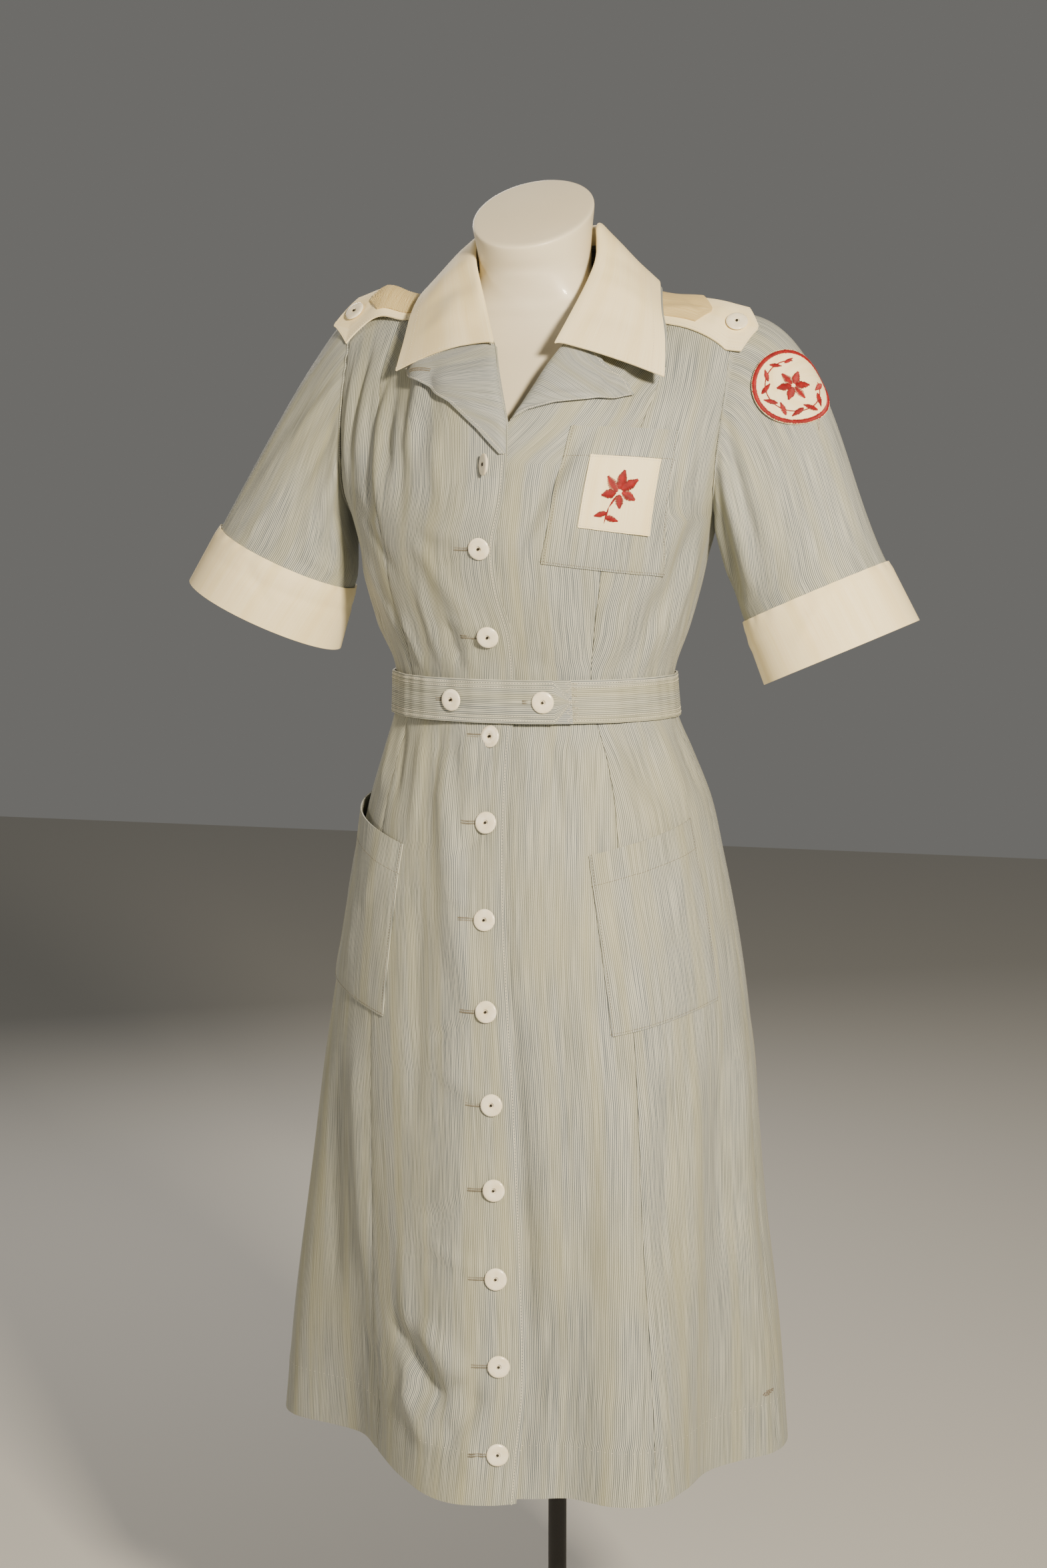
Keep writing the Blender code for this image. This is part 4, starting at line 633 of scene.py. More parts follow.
def cloth(name, points, finish, nodes, closed=False, grain=0.5,
          thickness=CLOTH, turn=False):
    """A thin closed wall round a grid of middle points, with a UV map in metres that follows the threads.

    The stripes run along the grid's second axis, from the line that grain names as a share of the
    first, or across it with turn.
    """
    across, along = points.shape[:2]
    normal = grid_normals(points, closed)
    vertices = np.concatenate([
        (points + normal * thickness / 2).reshape(-1, 3), (points - normal * thickness / 2).reshape(-1, 3)
    ])
    wide, long = spacing(points, 0, closed), spacing(points, 1)
    rows = across + 1 if closed else across
    u = wide - wide[round(grain * (rows - 1))]
    v = np.broadcast_to(long[min(round(grain * (across - 1)), across - 1)], (rows, along))
    uv = np.stack([v, u] if turn else [u, v], -1)
    under = across * along
    i, j = np.meshgrid(np.arange(across if closed else across - 1), np.arange(along - 1), indexing="ij")
    corners = [(i, j), (i + 1, j), (i + 1, j + 1), (i, j + 1)]
    index = np.stack([(a % across) * along + b for a, b in corners], -1).reshape(-1, 4)
    chart = np.stack([a * along + b for a, b in corners], -1).reshape(-1, 4)
    pairs = []
    steps = across if closed else across - 1
    for a in range(steps):
        pairs += [((a + 1, 0), (a, 0)), ((a, along - 1), (a + 1, along - 1))]
    if not closed:
        for b in range(along - 1):
            pairs += [((0, b), (0, b + 1)), ((across - 1, b + 1), (across - 1, b))]
    rim = np.array([[(p[0] % across) * along + p[1] for p in pair] for pair in pairs])
    rim_chart = np.array([[p[0] * along + p[1] for p in pair] for pair in pairs])
    walls = np.stack([rim[:, 0], rim[:, 1], under + rim[:, 1], under + rim[:, 0]], -1)
    faces = np.concatenate([index, under + index[:, ::-1], walls])
    wall_chart = np.stack([rim_chart[:, 0], rim_chart[:, 1], rim_chart[:, 1], rim_chart[:, 0]], -1)
    chart = np.concatenate([chart, chart[:, ::-1], wall_chart])
    mesh = bpy.data.meshes.new(name)
    mesh.from_pydata(vertices.tolist(), [], faces.tolist())
    layer = mesh.uv_layers.new(name="Threads")
    layer.data.foreach_set("uv", uv.reshape(-1, 2)[chart.reshape(-1)].reshape(-1))
    mesh.materials.append(finish)
    mesh.shade_smooth()
    mesh.set_sharp_from_angle(angle=math.radians(50))
    made = bpy.data.objects.new(name, mesh)
    bpy.context.scene.collection.objects.link(made)
    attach(made, "root")
    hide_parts(*nodes)
    sides = np.diff(points, axis=0)[:, :-1], np.diff(points, axis=1)[:-1]
    cell = np.linalg.norm(np.cross(*sides), axis=-1).sum()
    if closed:
        sides = (points[0] - points[-1])[:-1], np.diff(points[-1], axis=0)
        cell += np.linalg.norm(np.cross(*sides), axis=-1).sum()
    return made


def cotton(name, colours, pitch, rib, lined=1.0):
    """Woven cotton on the thread map: fine lines, faded bands along them, and the weave's relief.

    Colours are for the pale yarn, the dark yarn and the yellowed one. Pitch is from line to line in
    millimetres. Rib is how strongly the lines stand up, and lined how clear they are.
    """
    made, tree, shader = new_material(name, Roughness=0.62, Sheen_Weight=0.10, Sheen_Roughness=0.45)
    shader.inputs["Specular IOR Level"].default_value = 0.30
    shader.inputs["Sheen Tint"].default_value = srgb("#F4F0E4")
    chart = put(tree, "ShaderNodeUVMap", uv_map="Threads").outputs["UV"]
    place = put(tree, "ShaderNodeTexCoord").outputs["Object"]

    def bands(across, along, detail):
        """Noise drawn out along the threads: its size in metres across and along them."""
        sized = put(tree, "ShaderNodeMapping", {"Vector": chart, "Scale": (1 / across, 1 / along, 1.0)})
        vector = sized.outputs["Vector"]
        return put(tree, "ShaderNodeTexNoise", {"Vector": vector, "Scale": 1.0, "Detail": detail})

    def combined(first, second, operation):
        return put(tree, "ShaderNodeMath", {0: first, 1: second}, operation=operation).outputs["Value"]

    step = pitch / 1000
    across = put(tree, "ShaderNodeSeparateXYZ", {"Vector": chart}).outputs["X"]
    drift = combined(bands(0.012, 0.30, 1.0).outputs["Fac"], 2.5, "MULTIPLY")
    wave = combined(combined(combined(across, 2 * math.pi / step, "MULTIPLY"), drift, "ADD"), 0.0, "SINE")
    slub = bands(step * 0.7, 0.060, 1.0).outputs["Fac"]
    line = combined(combined(wave, 0.34 * lined, "MULTIPLY"), slub, "ADD")
    pale, dark, yellow = colours
    stripes = shade(tree, line, [(0.22, dark), (0.78, pale)])
    faded = bands(0.020, 0.60, 2.0).outputs["Fac"]
    ecru = put(tree, "ShaderNodeMapRange", {
        "Value": faded, "From Min": 0.46, "From Max": 0.66, "To Max": 0.42,
    }).outputs["Result"]
    worn = put(tree, "ShaderNodeTexNoise", {"Vector": place, "Scale": 6.0, "Detail": 4.0}).outputs["Fac"]
    aged = put(tree, "ShaderNodeMapRange", {
        "Value": worn, "From Min": 0.50, "From Max": 0.78, "To Max": 0.40,
    }).outputs["Result"]
    toned = put(tree, "ShaderNodeMixRGB", {"Fac": ecru, "Color1": stripes, "Color2": srgb(yellow)})
    last = put(tree, "ShaderNodeMixRGB", {
        "Fac": aged, "Color1": toned.outputs["Color"], "Color2": srgb(yellow),
    })
    tree.links.new(last.outputs["Color"], shader.inputs["Base Color"])
    bump = put(tree, "ShaderNodeBump", {"Height": line, "Strength": rib, "Distance": 0.0005})
    tree.links.new(bump.outputs["Normal"], shader.inputs["Normal"])
    return made


# The stripe's yarns: warm white, mid grey and the yellow of old cotton. A matt, slightly fuzzy face.
striped_cotton = cotton("fine corded grey stripe cotton", ("#BDBEB2", "#5C646A", "#A29F7A"), 1.6, 0.30)

def inner_front_x(side, level):
    """X of a front's inner edge: the lap edge or underlap edge, and above them the roll line."""
    column = 0 if side == RIGHT else 1
    x = np.zeros_like(level)
    for _ in range(6):
        share = share_of(level)
        z = np.where(share > 0, UNDERARM_Z + share * (ridge_at(x)[..., 0] - UNDERARM_Z), level)
        button_x, lap = np.moveaxis(closing_at(z), -1, 0)
        closed_x = button_x + lap if side == RIGHT else button_x - UNDERLAP
        x = np.where(z > ROLL_LINES[0][0], roll_at(z)[..., column], closed_x)
    return x


def seam_angle(level, column):
    return seam_at(level)[..., column]


def armhole_angle(side, level, at_front):
    """The angle of the armhole edge above the underarm, and of the side seam below it."""
    share = share_of(level)
    front, back = np.moveaxis(armhole_at(share), -1, 0)
    shift = ARMHOLE_SHIFT[side] * ease(share / 0.3)
    return side * (front - shift if at_front else 180.0 - back + shift)


def panel_points(edges, columns, levels, lift):
    """A grid across a panel. The edges are angles for each level, and columns are counts between them."""
    trim = np.degrees(SEAM_GAP / section_at(levels)[..., 0]) * np.sign(edges[-1] - edges[0])
    edges = [edges[0] + trim, *edges[1:-1], edges[-1] - trim]
    rows = [edges[0]]
    for near, far, count in zip(edges, edges[1:], columns):
        rows += [near + (far - near) * step / count for step in range(1, count + 1)]
    angle = np.array(rows)
    level = np.broadcast_to(levels, angle.shape)
    return lifted(angle, level, lift(angle, level) if callable(lift) else lift)


def lap_lift(angle, level):
    """The right front rises over the left front near the closing."""
    x, _, z = np.moveaxis(body(angle, level), -1, 0)
    button_x = closing_at(z)[..., 0]
    return LAP_LIFT * ease((x - button_x + 0.060) / 0.034)


def back_neck_level(angle):
    """The level where the back ends: the shoulder seam, and the rounded neckline between the shoulders."""
    half_width = section_at(SHOULDER_LEVEL)[..., 0]
    x = half_width * np.sin(np.radians(angle))
    inside = np.sqrt(np.clip(1 - (x / 0.060) ** 2, 0.0, 1.0))
    share = (1 - (0.50 * inside) ** 2) ** 0.25
    return UNDERARM_Z + share * (SHOULDER_LEVEL - UNDERARM_Z)


def pressed(points, first, last):
    """Edges that are sewn to a neighbour sink a little into the seam, unevenly along it."""
    run = spacing(points, 0)
    z = points[..., 2]
    pull = 0.0007 * (1 + 0.35 * np.sin(z * 410) + 0.25 * np.sin(z * 173 + 1))
    dip = first * np.exp(-((run / 0.0022) ** 2)) + last * np.exp(-(((run[-1] - run) / 0.0022) ** 2))
    return points - grid_normals(points, False) * (pull * dip)[..., None]


LEVELS = np.concatenate([
    np.linspace(HEM_Z, UNDERARM_Z, 176),
    UNDERARM_Z + (SHOULDER_LEVEL - UNDERARM_Z) * (1 - (1 - np.linspace(0, 1, 46)[1:]) ** 1.8),
])
SUNK = [
    # z, how far the left front falls back beside the lapped edge
    (0.343, 0.0085),
    (0.430, 0.0135),
    (0.560, 0.0145),
    (0.660, 0.0105),
    (0.760, 0.0050),
    (0.860, 0.0022),
    (0.980, 0.0010),
    (1.040, 0.0),
]
sunk_at = curve_through(SUNK)
inner_x = {side: inner_front_x(side, LEVELS) for side in (RIGHT, LEFT)}
doubled = closing_at(LEVELS)[..., 1] + UNDERLAP
fronts = {}
side_fronts = {}
side_backs = {}
for side, word, column in ((RIGHT, "right", 0), (LEFT, "left", 1)):
    inner = front_angle(inner_x[side], LEVELS)
    lapped = front_angle(inner_x[side] + side * doubled, LEVELS)
    seam = seam_angle(LEVELS, column)
    fronts[side] = panel_points((inner, lapped, seam), (10, 30), LEVELS, lap_lift if side == RIGHT else 0.0)
    arm = armhole_angle(side, LEVELS, True)
    side_fronts[side] = panel_points((seam, arm), (26,), LEVELS, 0.0)
    arm, seam = armhole_angle(side, LEVELS, False), seam_angle(LEVELS, column + 2)
    side_backs[side] = panel_points((arm, seam), (30,), LEVELS, 0.0)
    if side == RIGHT:
        for panels in (fronts, side_fronts, side_backs):
            panels[side] = panels[side][::-1]
    fronts[side] = pressed(fronts[side], side == RIGHT, side == LEFT)
    if side == LEFT:
        closing = closing_at(fronts[side][..., 2])
        past = np.maximum(fronts[side][..., 0] - closing[..., 0] - closing[..., 1], 0.0)
        fronts[side][..., 1] += sunk_at(fronts[side][..., 2])[..., 0] * np.exp(-past / 0.017)
    side_fronts[side] = pressed(side_fronts[side], 1, 1)
    side_backs[side] = pressed(side_backs[side], 1, 1)
    cloth(
        f"front_panel_{word}", fronts[side], striped_cotton, [f"front_{word}"],
        grain=1.0 if side == RIGHT else 0.0,
    )
    for part, points in (("side_front", side_fronts[side]), ("side_back", side_backs[side])):
        cloth(
            f"{part}_panel_{word}", points, striped_cotton, [f"{part}_{word}"],
        )
right, left = seam_angle(LEVELS, 2) + 360.0, seam_angle(LEVELS, 3)
trim = np.degrees(SEAM_GAP / section_at(LEVELS)[..., 0])
angle = left + trim + (right - left - 2 * trim) * np.linspace(0.0, 1.0, 66)[:, None]
squeeze = (back_neck_level(angle) - UNDERARM_Z) / (SHOULDER_LEVEL - UNDERARM_Z)
level = np.where(LEVELS > UNDERARM_Z, UNDERARM_Z + (LEVELS - UNDERARM_Z) * squeeze, LEVELS)
back = pressed(lifted(angle, level, 0.0), 1, 1)
cloth("centre_back_panel", back, striped_cotton, ["back_centre"])

# Sewing on the body: lockstitch in pale cotton thread along the front edges, and round the hem where its
# turned edge is caught down. Each stitch is a small grain of thread laid along its line, a little sunk in
# the cloth.
thread, tree, shader = new_material("mercerised cotton thread, cream", Roughness=0.55, Sheen_Weight=0.3)
place = put(tree, "ShaderNodeTexCoord").outputs["Object"]
twist = put(tree, "ShaderNodeTexNoise", {"Vector": place, "Scale": 2500.0, "Detail": 1.0}).outputs["Fac"]
tree.links.new(shade(tree, twist, [(0.30, "#C4BCA3"), (0.70, "#EAE4D2")]), shader.inputs["Base Color"])
# Dark grey thread: the buttonholes' own thread colour, and on the pockets its darkness also stands in for
# painted shade along their edges.
dark_thread_and_painted_edge_shade, tree, shader = new_material("dark grey cotton thread, partly painted edge shade", Roughness=0.7)
shader.inputs["Base Color"].default_value = srgb("#766F60")


def new_tree(name, inputs):
    """An empty Geometry Nodes tree with its input and output nodes. Inputs are (name, socket type)."""
    tree = bpy.data.node_groups.new(name, "GeometryNodeTree")
    tree.interface.new_socket("Geometry", in_out="INPUT", socket_type="NodeSocketGeometry")
    for label, kind in inputs:
        tree.interface.new_socket(label, in_out="INPUT", socket_type=kind)
    tree.interface.new_socket("Geometry", in_out="OUTPUT", socket_type="NodeSocketGeometry")
    return tree, put(tree, "NodeGroupInput").outputs


def grown(name, tree, vertices, edges, attributes, values, finish):
    """Runs a tree on a guide mesh with attributes at its points, and keeps the result as a plain mesh."""
    guide = bpy.data.meshes.new(name)
    guide.from_pydata([tuple(v) for v in vertices], edges, [])
    for label, (kind, data) in attributes.items():
        layer = guide.attributes.new(label, kind, "POINT")
        field = "vector" if kind == "FLOAT_VECTOR" else "value"
        layer.data.foreach_set(field, np.asarray(data, np.float32).reshape(-1))
    made = bpy.data.objects.new(name, guide)
    bpy.context.scene.collection.objects.link(made)
    modifier = made.modifiers.new("grown", "NODES")
    modifier.node_group = tree
    for item in tree.interface.items_tree:
        if item.in_out == "INPUT" and item.name in values:
            modifier[item.identifier] = values[item.name]
        if item.in_out == "INPUT" and item.name == "Finish":
            modifier[item.identifier] = finish
    view = bpy.context.evaluated_depsgraph_get()
    mesh = bpy.data.meshes.new_from_object(made.evaluated_get(view))
    made.modifiers.clear()
    made.data = mesh
    mesh.name = name
    mesh.shade_smooth()
    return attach(made, "root")


# Stitches: the guide line is cut into steps, and each step gets one grain, turned along the line and face
# up.
stitch_tree, given = new_tree("stitches along lines", [
    ("Step", "NodeSocketFloat"), ("Length", "NodeSocketFloat"), ("Width", "NodeSocketFloat"),
    ("Height", "NodeSocketFloat"), ("Seed", "NodeSocketInt"), ("Finish", "NodeSocketMaterial"),
])
line = put(stitch_tree, "GeometryNodeMeshToCurve", {"Mesh": given["Geometry"]})
steps = put(stitch_tree, "GeometryNodeResampleCurve", {
    "Curve": line.outputs["Curve"], "Length": given["Step"],
}, mode="LENGTH")
outward = put(stitch_tree, "GeometryNodeInputNamedAttribute", {"Name": "out"}, data_type="FLOAT_VECTOR")
wide = put(stitch_tree, "GeometryNodeInputNamedAttribute", {"Name": "wide"}, data_type="FLOAT")
tangent = put(stitch_tree, "GeometryNodeInputTangent")
ahead = put(stitch_tree, "FunctionNodeAlignRotationToVector", {
    "Vector": tangent.outputs["Tangent"],
}, axis="X")
facing = put(stitch_tree, "FunctionNodeAlignRotationToVector",
             {"Rotation": ahead.outputs["Rotation"], "Vector": outward.outputs["Attribute"]},
             axis="Z", pivot_axis="X")
uneven = put(stitch_tree, "FunctionNodeRandomValue", {
    2: 0.86, 3: 1.10, "Seed": given["Seed"],
}, data_type="FLOAT")
across = put(stitch_tree, "ShaderNodeMath", {
    0: given["Width"], 1: wide.outputs["Attribute"],
}, operation="MULTIPLY")
size = put(stitch_tree, "ShaderNodeCombineXYZ", {
    "X": given["Length"], "Y": across.outputs["Value"], "Z": given["Height"],
})
sized = put(stitch_tree, "ShaderNodeVectorMath", {
    0: size.outputs["Vector"], "Scale": uneven.outputs[1],
}, operation="SCALE")
grain = put(stitch_tree, "GeometryNodeMeshUVSphere", {"Segments": 6, "Rings": 4, "Radius": 0.5})
laid = put(stitch_tree, "GeometryNodeInstanceOnPoints", {
    "Points": steps.outputs["Curve"], "Instance": grain.outputs["Mesh"],
    "Rotation": facing.outputs["Rotation"], "Scale": sized.outputs["Vector"],
})
real = put(stitch_tree, "GeometryNodeRealizeInstances", {"Geometry": laid.outputs["Instances"]})
ended = put(stitch_tree, "GeometryNodeSetMaterial", {"Geometry": real.outputs["Geometry"],
                                                     "Material": given["Finish"]})
put(stitch_tree, "NodeGroupOutput", {"Geometry": ended.outputs["Geometry"]})


def stitches(name, lines, finish, step=0.0026, length=0.0021, width=0.0006, height=0.0005, seed=1):
    """Sewing along lines. Each line is its points, their outward directions, and the stitch's width."""
    vertices, outs, wides, edges = [], [], [], []
    for points, out, wide in lines:
        base = len(vertices)
        vertices += list(points)
        outs += list(out)
        wides += list(np.broadcast_to(wide, len(points)))
        edges += [(base + k, base + k + 1) for k in range(len(points) - 1)]
    values = {"Step": step, "Length": length, "Width": width, "Height": height, "Seed": seed}
    attributes = {"out": ("FLOAT_VECTOR", outs), "wide": ("FLOAT", wides)}
    return grown(name, stitch_tree, vertices, edges, attributes, values, finish)


def inset_line(points, edge, inset, lift=0.0, closed=False):
    """A line on a grid, some way in from one edge of it: first, last, bottom or top."""
    grid, out = points, grid_normals(points, closed)
    if edge in ("bottom", "top"):
        grid, out = np.swapaxes(grid, 0, 1), np.swapaxes(out, 0, 1)
    if edge in ("last", "top"):
        grid, out = grid[::-1], out[::-1]
    run = spacing(grid, 0)
    spots, ways = [], []
    for k in range(grid.shape[1]):
        place = np.interp(inset, run[:, k], np.arange(len(run)))
        low = min(int(place), len(run) - 2)
        share = place - low
        way = out[low, k] * (1 - share) + out[low + 1, k] * share
        spots.append(grid[low, k] * (1 - share) + grid[low + 1, k] * share + way * lift)
        ways.append(way)
    if closed:
        spots.append(spots[0])
        ways.append(ways[0])
    return np.array(spots), np.array(ways), 1.0


FACE = CLOTH / 2  # height of a stitch's middle over the cloth's own middle
below_lapel = int(np.argmax(LEVELS > 1.222))
edge_lines = [
    inset_line(fronts[RIGHT][:, :below_lapel], "last", 0.0042, FACE),
    inset_line(fronts[LEFT][:, :below_lapel], "first", 0.0042, FACE),
]
hem_lines = []
for panel in (*fronts.values(), *side_fronts.values(), *side_backs.values(), back):
    hem_lines.append(inset_line(panel, "bottom", HEM_FOLD_Z - HEM_Z, FACE * 0.9))
stitches("front_edge_sewing", edge_lines, thread)
stitches("hem_sewing", hem_lines, thread, step=0.0062, length=0.0016, width=0.0005, height=0.0004)

# Lapels: the top of each front, folded back on itself, wrong side out, with a crisp notch. The stripe
# slants on them. The right one keeps a buttonhole near its point, which meets no button.
#
# The table gives the roll line and the free edge, as X and Z on the front, and the edge's lift off it.
LAPELS = {
    RIGHT: [
        # station, roll x, z, edge x, z, edge lift
        (0.00, 0.0118, 1.2300, 0.0062, 1.2290, 0.0066),
        (0.25, 0.0105, 1.2560, -0.0140, 1.2490, 0.0066),
        (0.50, 0.0058, 1.2725, -0.0411, 1.2709, 0.0065),
        (0.70, 0.0010, 1.2880, -0.0700, 1.2860, 0.0062),
        (0.80, -0.0028, 1.3000, -0.0938, 1.2987, 0.0073),
        (0.90, -0.0058, 1.3100, -0.0700, 1.3080, 0.0061),
        (1.00, -0.0085, 1.3190, -0.0440, 1.3190, 0.0042),
    ],
    LEFT: [
        (0.00, 0.0122, 1.2568, 0.0155, 1.2595, 0.0048),
        (0.15, 0.0165, 1.2645, 0.0288, 1.2663, 0.0048),
        (0.32, 0.0213, 1.2720, 0.0494, 1.2715, 0.0048),
        (0.50, 0.0268, 1.2820, 0.0910, 1.2755, 0.0048),
        (0.60, 0.0310, 1.2900, 0.1080, 1.2765, 0.0046),
        (0.72, 0.0350, 1.2985, 0.0980, 1.2890, 0.0042),
        (0.84, 0.0395, 1.3070, 0.0806, 1.3045, 0.0037),
        (1.00, 0.0458, 1.3180, 0.0700, 1.3190, 0.0035),
    ],
}
LAPEL_ROLL_LIFT = {RIGHT: LAP_LIFT + 0.0022, LEFT: 0.0020}
LAPEL_SHARES = np.concatenate([np.linspace(0.0, 0.12, 10), np.linspace(0.12, 1.0, 30)[1:]])


def creased(points, creases, closed=False):
    """Soft troughs and ridges on a grid, each between two places given as shares of its two axes."""
    across, along = points.shape[:2]
    wide, long = spacing(points, 0, closed)[-1].mean(), spacing(points, 1)[:, -1].mean()
    a = (np.arange(across) / (across if closed else across - 1))[:, None]
    b = np.linspace(0.0, 1.0, along)[None, :]
    out = np.zeros((across, along))
    for a_from, b_from, a_to, b_to, rise, width in creases:
        line = np.array([(a_to - a_from) * wide, (b_to - b_from) * long])
        length = math.hypot(*line)
        for lap in (-1, 0, 1) if closed else (0,):
            over, up = (a - a_from + lap) * wide, (b - b_from) * long
            run = (over * line[0] + up * line[1]) / length**2
            off = (over * line[1] - up * line[0]) / length
            ends = ease((run + 0.04) / 0.35) * ease((1.04 - run) / 0.35)
            out = out + rise * np.exp(-((off / width) ** 2)) * ends
    return points + grid_normals(points, closed) * out[..., None]


def lapel_points(side, stations):
    """A grid over a lapel, from the bottom of its roll line up. Its fold turns down to the front."""
    rows = np.array(LAPELS[side])
    table = np.stack([np.interp(stations, rows[:, 0], rows[:, k]) for k in range(1, 6)], -1)[:, :, None]
    roll_x, roll_z, edge_x, edge_z, edge_lift = np.moveaxis(table, 1, 0)
    x = roll_x + (edge_x - roll_x) * LAPEL_SHARES
    z = roll_z + (edge_z - roll_z) * LAPEL_SHARES
    wide = np.hypot(edge_x - roll_x, edge_z - roll_z)
    calm = 1 - 0.75 * ease((np.asarray(stations) - 0.55) / 0.4)[:, None]
    belly = 0.050 * wide * np.sin(np.pi * np.sqrt(LAPEL_SHARES)) * calm
    lift = LAPEL_ROLL_LIFT[side] + (edge_lift - LAPEL_ROLL_LIFT[side]) * LAPEL_SHARES
    fold = 1 - 0.85 * np.exp(-LAPEL_SHARES * wide / 0.0022)
    return front_place(x, z, (lift + belly) * fold)


LAPEL_CREASES = {
    # station_from, share_from, station_to, share_to, out, half_width
    RIGHT: [(0.30, 0.1, 0.62, 0.5, -0.0010, 0.006), (0.62, 0.5, 0.80, 0.9, 0.0010, 0.006),
            (0.84, 0.2, 0.80, 0.8, -0.0012, 0.005), (0.45, 0.6, 0.66, 0.9, 0.0008, 0.004)],
    LEFT: [(0.20, 0.2, 0.50, 0.6, -0.0014, 0.007), (0.55, 0.2, 0.52, 0.9, 0.0012, 0.006),
           (0.80, 0.2, 0.66, 0.8, -0.0016, 0.006), (0.92, 0.3, 0.80, 0.9, 0.0010, 0.005)],
}
lapel_cotton = cotton("fine stripe cotton, cut across", ("#B6B8B2", "#5E676F", "#999880"), 1.5, 0.30)
lapel_lines = []
for side, word in ((RIGHT, "right"), (LEFT, "left")):
    points = lapel_points(side, np.linspace(0.0, 1.0, 90))
    points = creased(points if side == RIGHT else points[::-1], LAPEL_CREASES[side])
    cloth(f"lapel_fold_{word}", points, lapel_cotton, [f"lapel_{word}"],
          grain=0.7)
    lapel_lines.append(inset_line(points, "top", 0.0035, FACE))
    if side == RIGHT:
        held, row = (LAPEL_SHARES > 0.68) & (LAPEL_SHARES < 0.90), 70
        lapel_hole = points[row, held], grid_normals(points, False)[row, held]
stitches("lapel_edge_sewing", lapel_lines, thread, step=0.0024, length=0.0019)

# Sleeves: short, set into the armholes with a little ease at the head, cut in the same stripe running
# down them.
CUFF_HEIGHT = 0.057
# Sleeves: where each ends, and how wide its end and its cuff are.
SLEEVE_ENDS = {
    # side: cuff top centre (x, z), cuff bottom centre (x, z), half widths across, half depths
    RIGHT: ((-0.2338, 1.1368), (-0.2577, 1.0850), (0.0660, 0.0725), (0.057, 0.060)),
    LEFT: ((0.2500, 1.1115), (0.2728, 1.0593), (0.0655, 0.0685), (0.057, 0.060)),
}
SLEEVE_END_Y = 0.004


def armhole_ring(side, count):
    """Evenly spaced points round the armhole: over the top, down the front, and up the back."""
    shares = 1 - np.linspace(0.0, 1.0, 160) ** 1.6
    levels = UNDERARM_Z + shares * (SHOULDER_LEVEL - UNDERARM_Z)
    front = body(armhole_angle(side, levels, True), levels)
    back = body(armhole_angle(side, levels, False), levels)[::-1]
    path = np.concatenate([front, back[1:]])
    run = np.concatenate([[0.0], np.cumsum(np.linalg.norm(np.diff(path, axis=0), axis=1))])
    wanted = np.linspace(0.0, run[-1], count + 1)[:-1]
    return np.stack([np.interp(wanted, run, path[:, k]) for k in range(3)], -1)


def cuff_ring(side, phase, drop, out=0.0):
    """A ring across the sleeve's end: drop 0 at the cuff's top edge, 1 at its bottom edge."""
    (top_x, top_z), (low_x, low_z), wide, deep = SLEEVE_ENDS[side]
    axis = np.array([low_x - top_x, 0.0, low_z - top_z])
    axis = axis / np.linalg.norm(axis)
    outward = np.array([-axis[2] * side, 0.0, axis[0] * side])
    centre = np.array([top_x, SLEEVE_END_Y, top_z]) + axis * CUFF_HEIGHT * drop
    half_wide = wide[0] + (wide[1] - wide[0]) * drop + out
    half_deep = deep[0] + (deep[1] - deep[0]) * drop + out
    across = outward * (half_wide * np.cos(phase))[:, None]
    return centre + across - np.array([0.0, 1.0, 0.0]) * (half_deep * np.sin(phase))[:, None]


SLEEVE_BEND_END = -0.12  # where the sleeve's curve becomes straight, as a drop above the cuff
SLEEVE_HEAD = {RIGHT: (0.32, 0.18), LEFT: (0.48, 0.60)}  # how broad and how level the sleeve head is
SLEEVE_PULL = {RIGHT: 0.12, LEFT: 0.50}  # how far over the top the sleeve keeps the slope of its head
SLEEVE_INSIDE = 0.80  # how far it runs inside the cuff


def sleeve_point(side, turn, along):
    """Points of the sleeve. The turn runs over the top, front, underarm and back, from 0 to 1.

    Along is 0 at the armhole, 1 just above the cuff and 2 at the sleeve's edge inside the cuff.
    """
    turn, along = np.asarray(turn, float), np.asarray(along, float)
    count = 360
    ring = armhole_ring(side, count)
    place = (turn % 1.0) * count
    low = place.astype(int) % count
    start = ring[low] + (ring[(low + 1) % count] - ring[low]) * (place % 1.0)[:, None]
    phase = 2 * np.pi * turn
    cosine, sine = np.cos(phase), np.sin(phase)
    end = cuff_ring(side, phase, SLEEVE_BEND_END)
    edge = cuff_ring(side, phase, SLEEVE_INSIDE)
    arrive = (edge - end) / np.linalg.norm(edge - end, axis=-1, keepdims=True)
    broad, drop = SLEEVE_HEAD[side]
    leave = np.stack([side * (0.50 + broad * cosine), -0.16 * sine, -(0.70 - drop * cosine)], -1)
    leave = leave / np.linalg.norm(leave, axis=-1, keepdims=True)
    under = np.clip(-cosine, 0.0, 1.0)[:, None]
    pull = 0.40 + SLEEVE_PULL[side] * np.clip(cosine, 0.0, 1.0)[:, None, None]
    start = start + leave * 0.0013 + np.array([side, 0.0, 0.0]) * 0.0016 * under
    reach = np.linalg.norm(end - start, axis=-1, keepdims=True)
    start, end, leave, reach, arrive, edge = (v[:, None] for v in (start, end, leave, reach, arrive, edge))
    t = np.clip(along, 0.0, 1.0)[None, :, None]
    past = np.clip(along - 1.0, 0.0, 1.0)[None, :, None]
    curve = (
        start * (2 * t**3 - 3 * t**2 + 1)
        + leave * reach * pull * (t**3 - 2 * t**2 + t)
        + end * (3 * t**2 - 2 * t**3)
        + arrive * reach * pull * (t**3 - t**2)
    )
    return curve + (edge - end) * past


